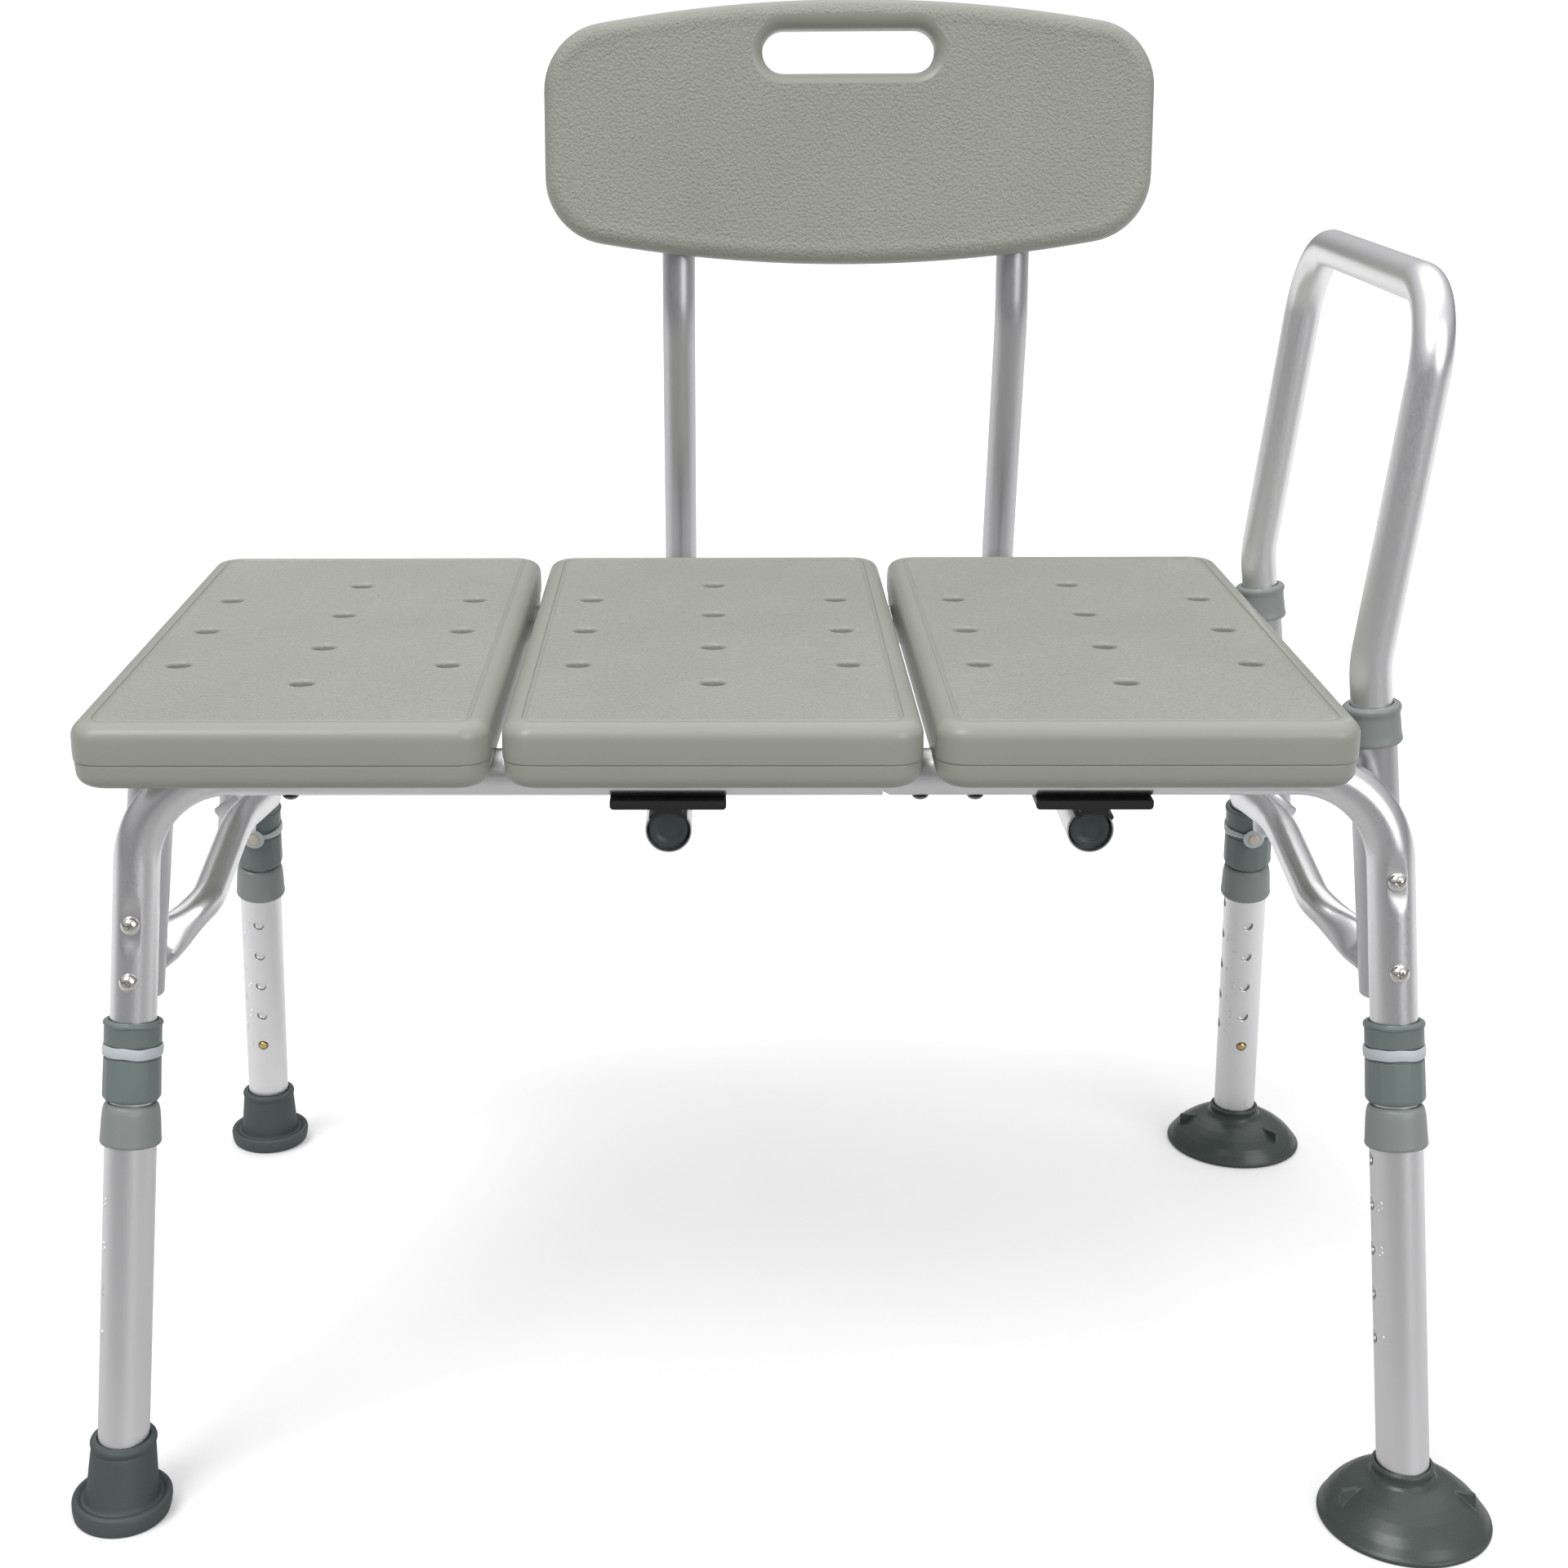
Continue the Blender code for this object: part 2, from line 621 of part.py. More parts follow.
def cup_profile():
    bore = [(0, CUP_FLOOR_Z), (FOOT_BORE_R, CUP_FLOOR_Z), (FOOT_BORE_R, CUP_HEIGHT)]
    outside = [(0.0164, CUP_HEIGHT), (0.0171, CUP_HEIGHT - 0.001), (0.0171, 0.0290), (0.0190, 0.0262)]
    outside += [(0.0250, 0.0232), (0.0335, 0.0186), (0.0410, 0.0125), (0.0455, 0.0062), (CUP_R, 0.0010)]
    hollow = [(CUP_R - 0.0008, 0), (CUP_R - 0.0045, 0), (0.0300, 0.0050), (0, 0.0075)]
    return bore + outside + hollow


def foot(name, side, end, bench):
    """A turned foot, leaned over so that its base is flat on the floor and its bore follows the leg."""
    profile = tip_profile() if side < 0 else cup_profile()
    kind = "rubber_tip" if side < 0 else "suction_cup"
    mesh = welded(realised(turned("foot", profile, GREY_RUBBER, None, steps=FOOT_SIDES)))
    lean = Matrix.Identity(4)
    lean[0][2] = -side * LEG_LEAN_X
    lean[1][2] = -end * LEG_LEAN_Y
    mesh.transform(lean)
    add(f"{kind}_{name}", mesh, GREY_RUBBER, bench, leg_point(side, end, 0))


def legs_and_feet(bench, legs, rails):
    for name, side, end in LEGS:
        leg = legs[name]
        pin_height, button_height = along(PIN_Z), along(BUTTON_Z)
        pin_line = ((0, -end * 0.0045, pin_height), (0, -end * 0.022, pin_height), PIN_HOLE_R)
        button_line = ((0, -end * 0.0065, button_height), (0, -end * 0.018, button_height), HOLE_R)
        pin_hole = rods(f"pin_hole_{name}", [pin_line], leg)
        boolean(rails[name], pin_hole)
        upper_collar(name, leg, pin_hole)
        lower_collar(name, leg)
        inner_tube(name, leg, pin_hole, rods(f"button_hole_{name}", [button_line], leg))
        floor = TIP_FLOOR_Z if side < 0 else CUP_FLOOR_Z
        outer_tube(name, end, leg, along(floor + TUBE_END_RISE))
        snap_button(name, end, leg)
        lock_pin(name, end, leg)
        foot(name, side, end, bench)


def back_panel_outline(inset):
    """The panel's outline, bowed at top and bottom, with round corners. It runs anticlockwise."""
    half_w, half_h, radius = PANEL_HALF_W - inset, PANEL_HALF_H - inset, PANEL_CORNER_R - inset
    slope = math.degrees(math.atan(2 * PANEL_BOW * (half_w - radius) / PANEL_BOW_SPAN**2))
    edge_x = half_w - radius + radius * math.sin(math.radians(slope))
    steps = [edge_x * (1 - k / 4) for k in range(9)]
    crest = [(x, half_h - PANEL_BOW * (x / PANEL_BOW_SPAN) ** 2) for x in steps]
    centre = (half_w - radius, crest[0][1] - radius * math.cos(math.radians(slope)))
    corner = arc(centre, radius, 0, 90 - slope, 4)
    upper = corner + crest[1:-1] + [(-x, y) for x, y in reversed(corner)]
    return upper + [(-x, -y) for x, y in upper]


def hand_slot(grow):
    half_w, radius = SLOT_HALF_W - SLOT_HALF_H, SLOT_HALF_H + grow
    right = arc((half_w, SLOT_RISE), radius, 90, -90, 6)
    return right + arc((-half_w, SLOT_RISE), radius, 270, 90, 6)


def backrest(bench):
    loops = [back_panel_outline(PANEL_EDGE_R), hand_slot(PANEL_EDGE_R)]
    panel = outline_solid("back_panel", loops, PANEL_HALF_T, PANEL_EDGE_R)
    centre = (BACK_X, *PANEL_CENTRE)
    made = add("back_panel", panel, SAGE_PLASTIC, bench, centre, (math.pi / 2 - math.atan(BACK_LEAN), 0, 0))
    top_y = BACK_KINK[0] + BACK_LEAN * (BACK_TOP_Z - BACK_KINK[1])
    lines = []
    for hand, side in HANDS.items():
        x = BACK_X + side * BACK_HALF_SPAN
        corners = [
            ((x, BACK_FRONT_Y, RECEIVER_Z), 0),
            ((x, BACK_CORNER_Y, RECEIVER_Z), BACK_BEND_R),
            ((x, *BACK_KINK), BACK_KINK_R),
            ((x, top_y, BACK_TOP_Z), 0),
        ]
        axis = (x, BACK_FRONT_Y, RECEIVER_Z)
        tube(f"back_tube_{hand}", rounded(corners), BACK_TUBE_R, BACK_WALL, ALUMINIUM, bench, axis)
        beyond = (x, top_y + BACK_LEAN * 0.001, BACK_TOP_Z + 0.001)
        lines.append(((x, *BACK_KINK), beyond, BACK_TUBE_R + 0.0007))
        head = [(0, 0.0035), (PLUG_R - 0.0008, 0.0035), (PLUG_R, 0.0027), (PLUG_R, GAP)]
        stem = [(0.0092, GAP), (0.0092, -0.012), (0, -0.012)]
        turned(f"back_tube_plug_{hand}", head + stem, GREY_PLASTIC, bench, axis, (math.pi / 2, 0, 0))
    boolean(made, rods("back_tube_grooves", lines, bench, TUBE_SIDES))


def receivers(bench):
    """Two receiver tubes under the seat, each hung from both rails by a saddle bracket."""
    bore = TUBE_R - RECEIVER_WALL
    length = RECEIVER_Y[1] - RECEIVER_Y[0]
    profile = [(TUBE_R, 0), (TUBE_R, -length), (bore, -length), (bore, 0)]
    top = RAIL_Z - TUBE_R - GAP - RECEIVER_Z
    under = top - PLATE_T
    saddle = arc((0, 0), SADDLE_BORE_R, 38, 142, 6)
    left = [(-SADDLE_HALF_W, 0.0100), (-NECK_HALF_W, under - 0.0008), (-NECK_HALF_W, under)]
    left += [(-PLATE_HALF_W, under), (-PLATE_HALF_W, top)]
    right = [(-x, y) for x, y in reversed(left)]
    for hand, side in HANDS.items():
        x = BACK_X + side * BACK_HALF_SPAN
        mouth, facing = (x, RECEIVER_Y[0], RECEIVER_Z), (math.pi / 2, 0, 0)
        turned(f"back_receiver_{hand}", profile, ALUMINIUM, bench, mouth, facing, ring=True)
        for end in ENDS:
            mesh = outline_solid("bracket", [saddle + left + right], BRACKET_DEPTH / 2)
            spot = (x, ENDS[end] * RAIL_Y, RECEIVER_Z)
            add(f"back_bracket_{end}_{hand}", mesh, BLACK_PLASTIC, bench, spot, (math.pi / 2, 0, 0))


def build():
    bench = empty("bench", Matrix.Translation((-BOX_CENTRE[0], -BOX_CENTRE[1], 0)))
    legs = {name: empty(f"leg_axis_{name}", leg_frame(side, end), bench) for name, side, end in LEGS}
    seat_panels(bench)
    rails = frame_rails(bench)
    sockets = arm_sockets(bench)
    arm_rail(bench)
    screws(legs, rails, sockets, side_braces(bench))
    legs_and_feet(bench, legs, rails)
    receivers(bench)
    backrest(bench)


build()
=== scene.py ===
"""Bath transfer bench on a plain pale floor: three seat panels on a tube frame, a slide-in backrest,
a lift-out arm rail and four telescoping legs. Metres, +Z up, front toward -Y."""

import math

import bmesh
import bpy
from mathutils import Matrix, Vector


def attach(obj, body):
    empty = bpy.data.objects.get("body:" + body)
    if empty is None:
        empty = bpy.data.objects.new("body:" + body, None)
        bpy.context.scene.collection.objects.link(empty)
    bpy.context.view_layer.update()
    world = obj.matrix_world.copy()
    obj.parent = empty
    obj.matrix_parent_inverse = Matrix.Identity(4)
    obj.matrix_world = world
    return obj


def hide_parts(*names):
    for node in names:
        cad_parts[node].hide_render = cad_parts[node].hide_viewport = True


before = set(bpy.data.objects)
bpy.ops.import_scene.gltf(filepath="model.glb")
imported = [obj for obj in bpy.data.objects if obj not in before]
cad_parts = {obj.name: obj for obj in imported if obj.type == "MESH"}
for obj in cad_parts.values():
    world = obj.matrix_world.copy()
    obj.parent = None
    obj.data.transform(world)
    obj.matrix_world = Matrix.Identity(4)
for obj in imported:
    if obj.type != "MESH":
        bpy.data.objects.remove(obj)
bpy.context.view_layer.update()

ENDS = {"front": -1, "rear": 1}
HANDS = {"left": -1, "right": 1}
LEGS = [(f"{end}_{hand}", HANDS[hand], ENDS[end]) for end in ENDS for hand in HANDS]
GAP = 0.0003
SHIFT = Matrix.Translation((-0.00995, -0.0192, 0))  # from the centre of the legs to the origin

# Frame rails and legs.
TUBE_R = 0.0127
FRAME_WALL = 0.0013
RAIL_Z = 0.414
RAIL_Y = 0.1604
CORNER_X = 0.3355
LEG_LEAN_X = 0.0581
LEG_LEAN_Y = 0.1774
LEG_STRETCH = math.sqrt(1 + LEG_LEAN_X**2 + LEG_LEAN_Y**2)
RAIL_BEND_R = 0.052
FRAME_END_Z = 0.2516
DENT_R = 0.014
DENT_DEPTH = 0.0013
DENT_TOP_Z = 0.360
DENT_STEP = 0.002
SPLICE_X = 0.065
SWAGE_R = 0.0107
SWAGE_LENGTH = 0.040
INNER_R = 0.0124
INNER_WALL = 0.0012
INNER_END_Z = 0.058
SPIGOT_R = 0.0107
SPIGOT_TOP_Z = 0.290
OUTER_R = 0.0143
OUTER_WALL = 0.0014
OUTER_TOP_Z = 0.2302
HOLE_PITCH = 0.0254
HOLE_R = 0.0037
HOLE_COUNT = 5
BUTTON_Z = 0.0918
PIN_Z = 0.2628
PIN_R = 0.0021
UPPER_COLLAR_Z = (0.2358, 0.2800)
UPPER_COLLAR_R = 0.0164
LOWER_COLLAR_Z = (0.2112, 0.2340)
STRAP_Z = (0.2606, 0.2666)
NUMERAL_SIZE = 0.0085

# Feet.
FOOT_BORE_R = 0.0151
TIP_R = 0.0281
TIP_HEIGHT = 0.0445
TIP_FLOOR_Z = 0.009
CUP_R = 0.0474
CUP_HEIGHT = 0.0325
CUP_FLOOR_Z = 0.0113
TUBE_END_RISE = 0.0032
CUP_TABS = {-1: (-165, -20), 1: (-185, -48)}  # degrees round the cup, front cup and rear cup

# Arm sockets, arm rail, screws and braces.
SOCKET_Y = 0.1395
SOCKET_X = 0.3465
SOCKET_REF_Z = 0.300
SOCKET_LEAN = 0.120
SOCKET_WALL = 0.0010
SOCKET_BOTTOM_Z = 0.278
SOCKET_TOP_Z = {"left": 0.4155, "right": 0.437}
ARM_R = 0.0111
ARM_WALL = 0.0013
ARM_END_Z = 0.372
ARM_KINK_Z = 0.467
ARM_LEAN_OUT = 0.112
ARM_TOP_Z = 0.664
ARM_BEND_R = 0.045
ARM_KINK_R = 0.07
ARM_COLLAR_Z = (0.4245, 0.446)
SCREW_Z = {"left": {"upper": 0.333, "lower": 0.3023}, "right": {"upper": 0.3565, "lower": 0.3075}}
SCREW_HEAD_R = 0.0052
SCREW_SHANK_R = 0.0021
CAP_NUT_R = 0.0052
BRACE_R = 0.0095
BRACE_X = 0.318
BRACE_BEND_Y = 0.096
BRACE_BEND_Z = 0.3165
BRACE_BEND_R = 0.018
BRACE_APEX_Z = 0.330
BRACE_END_Y = 0.1235
BRACE_INNER = (0.008, 0.3000)  # x inside SOCKET_X, and height, where the pressed end begins
BRACE_TIP = (0.007, 0.2875)  # x outside SOCKET_X, and height, of the pressed end
BRACE_FLAT = (0.0022, 0.0118)
PRESS_STEPS = 10

# Seat panels.
PANEL_PITCH = 0.2253
PANEL_WIDTH = 0.2193
SEAT_DEPTH = 0.404
SEAT_X = -0.026
SEAT_Y = -0.0075
SEAT_TOP_Z = 0.454
SEAT_HALF_T = 0.018
SEAT_CORNER_R = 0.016
SEAT_EDGE_R = 0.0085
FIELD_INSET = 0.0127
DRAIN_R = 0.0065
DRAIN_PITCH = 0.0776
DRAIN_SIDE_X = 0.076
RAIL_GROOVE_R = 0.0137
RAIL_BOLT_X = (-0.254, 0.0855, 0.115)

# Backrest, receivers and brackets.
BACK_X = 0.064
BACK_HALF_SPAN = 0.114
BACK_TUBE_R = 0.0111
BACK_WALL = 0.0012
RECEIVER_Z = 0.3803
RECEIVER_Y = (-0.160, 0.185)
RECEIVER_WALL = 0.0010
BACK_FRONT_Y = -0.1545
BACK_CORNER_Y = 0.3163
BACK_BEND_R = 0.050
BACK_KINK = (0.278, 0.600)
BACK_KINK_R = 0.10
BACK_TOP_Z = 0.787
BACK_LEAN = 0.1139
PLUG_R = 0.0108
PANEL_HALF_W = 0.2035
PANEL_HALF_H = 0.0858
PANEL_HALF_T = 0.015
PANEL_EDGE_R = 0.010
PANEL_BOW = 0.0145
PANEL_BOW_SPAN = 0.168
PANEL_CORNER_R = 0.044
PANEL_CENTRE = (0.2801, 0.7237)
SLOT_HALF_W = 0.0575
SLOT_HALF_H = 0.014
SLOT_RISE = 0.0525
PLATE_HALF_W = 0.03125
PLATE_T = 0.0052
BRACKET_DEPTH = 0.022
SADDLE_BORE_R = 0.0132
BRACKET_SCREW_X = 0.0225
BACK_SCREW_LEVELS = {"low": -0.045, "high": 0.030}

# Studio.
FLOOR_GREY = (0.28, 0.75)  # in front of the part and behind it
FLOOR_GREY_Y = (-0.9, 0.4)
FLOOR_GLOW = 0.16
SENSOR_WIDTH = 36
FOCAL_LENGTH = 54.62
LENS_SHIFT_X = 0.0677
CAMERA_SPOT = (-0.03232, -1.39749, 0.80214)
CAMERA_RIGHT = (0.99985, 0.01644, -0.00607)
CAMERA_BACK = (0.01751, -0.95104, 0.30859)

# --- Materials ---


def node(tree, kind, **settings):
    made = tree.nodes.new(kind)
    for key, value in settings.items():
        setattr(made, key, value)
    return made


def noise(tree, where, scale, detail, stretch=None):
    if stretch:
        mapping = node(tree, "ShaderNodeMapping")
        mapping.inputs["Scale"].default_value = stretch
        tree.links.new(where, mapping.inputs["Vector"])
        where = mapping.outputs["Vector"]
    made = node(tree, "ShaderNodeTexNoise")
    made.inputs["Scale"].default_value = scale
    made.inputs["Detail"].default_value = detail
    tree.links.new(where, made.inputs["Vector"])
    return made.outputs["Fac"]


def ranged(tree, value, low, high, start=0.3, stop=0.7):
    made = node(tree, "ShaderNodeMapRange")
    for key, number in (("From Min", start), ("From Max", stop), ("To Min", low), ("To Max", high)):
        made.inputs[key].default_value = number
    tree.links.new(value, made.inputs["Value"])
    return made.outputs["Result"]


def blended(tree, factor, first, second):
    made = node(tree, "ShaderNodeMix", data_type="RGBA")
    tree.links.new(factor, made.inputs["Factor"])
    for socket, value in ((made.inputs[6], first), (made.inputs[7], second)):
        if isinstance(value, tuple):
            socket.default_value = (*value, 1)
        else:
            tree.links.new(value, socket)
    return made.outputs[2]


def shade(colour, factor):
    return tuple(min(1.0, channel * factor) for channel in colour)


def finish(
    name,
    colour,
    rough,
    metallic=0.0,
    *,
    mottle,
    depth,
    mottle_scale=14,
    grain=900,
    cells=0,
    wear=0.2,
    stretch=None,
    **extra,
):
    """A procedural material: broad and fine colour variation, grain in gloss and surface, worn edges, and
    painted shade in the crevices between pebbles.
    """
    made = bpy.data.materials.new(name)
    made.use_nodes = True
    tree = made.node_tree
    shader = tree.nodes["Principled BSDF"]
    where = node(tree, "ShaderNodeTexCoord").outputs["Object"]
    broad = noise(tree, where, mottle_scale, 4.0)
    fine = noise(tree, where, grain, 3.0, stretch)
    tint = blended(tree, ranged(tree, broad, 0, 1), shade(colour, 1 - mottle), shade(colour, 1 + mottle))
    deepest = (0.5 if metallic else 2.0) * mottle
    tint = blended(tree, ranged(tree, fine, 0, 0.2), tint, shade(colour, 1 - deepest))
    edge = node(tree, "ShaderNodeNewGeometry").outputs["Pointiness"]
    worn = ranged(tree, edge, 0, wear, 0.52, 0.60)
    tint = blended(tree, worn, tint, shade(colour, 1.5))
    tree.links.new(ranged(tree, fine, rough * 0.88, rough * 1.14), shader.inputs["Roughness"])
    shader.inputs["Metallic"].default_value = metallic
    for key, value in extra.items():
        shader.inputs[key.replace("_", " ").title().replace("Ior", "IOR")].default_value = value
    height = fine
    if cells:
        pebbles = node(tree, "ShaderNodeTexVoronoi", feature="SMOOTH_F1")
        pebbles.inputs["Scale"].default_value = cells
        pebbles.inputs["Smoothness"].default_value = 0.6
        tree.links.new(where, pebbles.inputs["Vector"])
        both = node(tree, "ShaderNodeMath", operation="SUBTRACT")
        tree.links.new(ranged(tree, noise(tree, where, cells * 1.2, 2.0), 0, 0.5), both.inputs[0])
        tree.links.new(pebbles.outputs["Distance"], both.inputs[1])
        height = both.outputs[0]
        # Painted shade: the low ground between the pebbles is darkened, where shade would fall.
        crevice_shade = ranged(tree, height, 0.45, 0, -0.55, 0.0)
        tint = blended(tree, crevice_shade, tint, shade(colour, 0.80))
    tree.links.new(tint, shader.inputs["Base Color"])
    bump = node(tree, "ShaderNodeBump")
    bump.inputs["Distance"].default_value = depth
    tree.links.new(height, bump.inputs["Height"])
    tree.links.new(bump.outputs["Normal"], shader.inputs["Normal"])
    return made


SAGE = (0.352, 0.362, 0.316)
SAGE_FIELD = finish("sage_pebbled", shade(SAGE, 1.04), 0.52, mottle=0.04, cells=520, depth=0.00055, wear=0)
SAGE_RIM = finish("sage_smooth", shade(SAGE, 0.98), 0.33, mottle=0.025, grain=1400, depth=0.00003, wear=0.1)
SATIN = {"metallic": 1.0, "grain": 1200, "depth": 0.000003, "stretch": (1, 1, 0.4), "wear": 0.1}
TUBE = finish("aluminium_satin", (0.84, 0.84, 0.85), 0.31, mottle=0.015, **SATIN)
LEG_TUBE = finish(
    "aluminium_speckled", (0.88, 0.88, 0.89), 0.36, 1.0, mottle=0.02, grain=1500, depth=0.000007,
    wear=0.1,
)
# Painted shade: the arm sockets are the frame's aluminium, given a darker colour for the shade under the
# seat.
SHADED_SOCKET_TUBE = finish(
    "aluminium_painted_shade", (0.58, 0.58, 0.60), 0.38, 1.0, mottle=0.03, grain=1300, depth=0.000005, wear=0.1,
)
COLLAR = finish("slate_plastic", (0.158, 0.200, 0.192), 0.38, mottle=0.08, grain=1200, depth=0.00004)
PALE_COLLAR = finish(
    "slate_plastic_pale", (0.255, 0.276, 0.268), 0.38, mottle=0.08, grain=1200, depth=0.00004,
)
RUBBER = finish(
    "slate_rubber", (0.062, 0.078, 0.077), 0.55, mottle=0.10, grain=1000, depth=0.00006, wear=0.35,
)
CUP_RUBBER = finish(
    "slate_rubber_gloss", (0.050, 0.064, 0.058), 0.30, mottle=0.06, grain=700, depth=0.00002, wear=0.35,
)
BLACK = finish("black_plastic", (0.022, 0.022, 0.021), 0.42, mottle=0.2, grain=1000, depth=0.00005, wear=0.5)
# Painted light: the arm rail is the frame's aluminium, given a lighter colour for the light that falls on it.
LIT_ARM_TUBE = finish("aluminium_painted_light", (0.94, 0.94, 0.95), 0.34, mottle=0.015, **SATIN)
BACK_TUBE = finish("aluminium_shaded", (0.60, 0.60, 0.62), 0.36, mottle=0.02, **SATIN)
PLUG = finish("slate_plug", (0.060, 0.078, 0.078), 0.40, mottle=0.06, grain=1200, depth=0.00003)
BRASS = finish("brass", (0.72, 0.50, 0.22), 0.24, 1.0, mottle=0.05, grain=1600, depth=0.00002)
NICKEL = finish("nickel", (0.80, 0.78, 0.74), 0.16, 1.0, mottle=0.04, grain=1400, depth=0.00001)
STEEL = finish("dark_steel", (0.20, 0.20, 0.21), 0.35, 1.0, mottle=0.08, grain=1400, depth=0.00002)
CREAM = finish("cream_plastic", (0.70, 0.62, 0.50), 0.35, mottle=0.05, grain=1000, depth=0.00003)
STRAP = finish(
    "milky_strap", (0.82, 0.82, 0.81), 0.34, mottle=0.03, grain=900, depth=0.00004,
    transmission_weight=0.25, subsurface_weight=0.2,
)


# --- Shapes ---


def solid(points, faces):
    mesh = bpy.data.meshes.new("piece")
    mesh.from_pydata([tuple(point) for point in points], [], faces)
    body = bmesh.new()
    body.from_mesh(mesh)
    bmesh.ops.remove_doubles(body, verts=body.verts, dist=1e-6)
    bmesh.ops.recalc_face_normals(body, faces=body.faces)
    body.to_mesh(mesh)
    body.free()
    return mesh


def skin(rings, loop=False, caps=True):
    """A surface over rings that hold the same number of points."""
    count = len(rings[0])
    points = [point for ring in rings for point in ring]
    faces = []
    for i in range(len(rings) if loop else len(rings) - 1):
        a, b = i * count, (i + 1) % len(rings) * count
        for k in range(count):
            j = (k + 1) % count
            faces.append((a + k, a + j, b + j, b + k))
    if caps and not loop:
        faces += [tuple(range(count)), tuple(range(len(points) - count, len(points)))]
    return solid(points, faces)


def softened(corners, radius, closed=False, steps=4):
    """A polyline with its corners rounded, each by at most the radius."""
    points = [Vector(corner) for corner in corners]
    made = []
    for k, point in enumerate(points):
        if not closed and k in (0, len(points) - 1):
            made.append(point)
            continue
        before, after = points[k - 1] - point, points[(k + 1) % len(points)] - point
        if before.length < 1e-7 or after.length < 1e-7 or math.pi - before.angle(after) < 0.05:
            made.append(point)
            continue
        back = min(radius, 0.45 * before.length, 0.45 * after.length)
        first, last = point + before.normalized() * back, point + after.normalized() * back
        for i in range(steps + 1):
            t = i / steps
            made.append(first * (1 - t) ** 2 + point * 2 * t * (1 - t) + last * t * t)
    return [tuple(point) for point in made]


def turned(profile, ring=False, sides=56, shape=None):
    """A profile of (radius, height) turned about Z. shape may change the radius and height by angle."""
    rings = []
    for radius, height in profile:
        points = []
        for k in range(sides):
            angle = math.tau * k / sides
            r, z = shape(radius, height, angle) if shape else (radius, height)
            points.append((r * math.cos(angle), r * math.sin(angle), z))
        rings.append(points)
    return skin(rings, loop=ring, caps=False)


def rounded(corners, degrees):
    """A path through (point, bend radius) corners, each bend an arc."""
    points = [Vector(corner) for corner, _ in corners]
    path = [points[0]]
    for k in range(1, len(points) - 1):
        before = (points[k - 1] - points[k]).normalized()
        after = (points[k + 1] - points[k]).normalized()
        turn = math.pi - before.angle(after)
        radius = corners[k][1]
        if radius == 0:
            path.append(points[k])
            continue
        start = points[k] + before * radius * math.tan(turn / 2)
        centre = points[k] + (before + after).normalized() * radius / math.cos(turn / 2)
        axis = (start - centre).cross(points[k] - centre).normalized()
        steps = max(2, round(math.degrees(turn) / degrees))
        for i in range(steps + 1):
            path.append(centre + Matrix.Rotation(turn * i / steps, 3, axis) @ (start - centre))
    return path + [points[-1]]


def directions(path):
    for k in range(len(path)):
        yield (path[min(k + 1, len(path) - 1)] - path[max(k - 1, 0)]).normalized()


def circle(centre, thin, wide, radius, sides):
    angles = [math.tau * k / sides for k in range(sides)]
    return [centre + (thin * math.sin(a) + wide * math.cos(a)) * radius for a in angles]


def swept(path, radius, wall, sides=44, radius_at=None):
    """A hollow tube along a path, with its rims rounded a little."""
    path = [Vector(point) for point in path]
    rim = 0.0004
    path.insert(1, path[0] + (path[1] - path[0]).normalized() * rim)
    path.insert(len(path) - 1, path[-1] + (path[-2] - path[-1]).normalized() * rim)
    outside, inside = [], []
    normal = None
    for k, (centre, ahead) in enumerate(zip(path, directions(path))):
        normal = normal or ahead.orthogonal()
        normal = (normal - ahead * normal.dot(ahead)).normalized()
        across = ahead.cross(normal)
        size = radius_at(centre) if radius_at else radius
        trim = rim if k in (0, len(path) - 1) else 0
        outside.append(circle(centre, normal, across, size - trim, sides))
        inside.append(circle(centre, normal, across, size - wall + trim / 2, sides))
    return skin(outside + inside[::-1], loop=True)


def arc(centre, radius, start, end, steps):
    """Points of an arc in degrees, ends included."""
    angles = [math.radians(start + (end - start) * k / steps) for k in range(steps + 1)]
    return [(centre[0] + radius * math.cos(a), centre[1] + radius * math.sin(a)) for a in angles]


def edge_round(radius, top, steps=10):
    """(inset, height) of a quarter round, from the side up to a flat top."""
    angles = [math.radians(90 / steps * k) for k in range(steps + 1)]
    return [(radius * (1 - math.cos(a)), top - radius * (1 - math.sin(a))) for a in angles]


def rod(start, end, radius, sides=28):
    start, end = Vector(start), Vector(end)
    ahead = (end - start).normalized()
    thin = ahead.orthogonal().normalized()
    return skin([circle(point, thin, ahead.cross(thin), radius, sides) for point in (start, end)])


def joined(meshes):
    body = bmesh.new()
    for mesh in meshes:
        body.from_mesh(mesh)
    made = bpy.data.meshes.new("joined")
    body.to_mesh(made)
    body.free()
    return made


def placed(mesh, matrix):
    mesh.transform(matrix)
    return mesh


def cut(mesh, *cutters):
    """The mesh with the cutters taken out of it."""
    obj = bpy.data.objects.new("work", mesh)
    bpy.context.scene.collection.objects.link(obj)
    tools = []
    for cutter in cutters:
        tool = bpy.data.objects.new("tool", cutter)
        bpy.context.scene.collection.objects.link(tool)
        step = obj.modifiers.new("Cut", "BOOLEAN")
        step.operation = "DIFFERENCE"
        step.solver = "EXACT"
        step.object = tool
        tools.append(tool)
    graph = bpy.context.evaluated_depsgraph_get()
    made = bpy.data.meshes.new_from_object(obj.evaluated_get(graph))
    for used in [obj, *tools]:
        bpy.data.objects.remove(used)
    return made


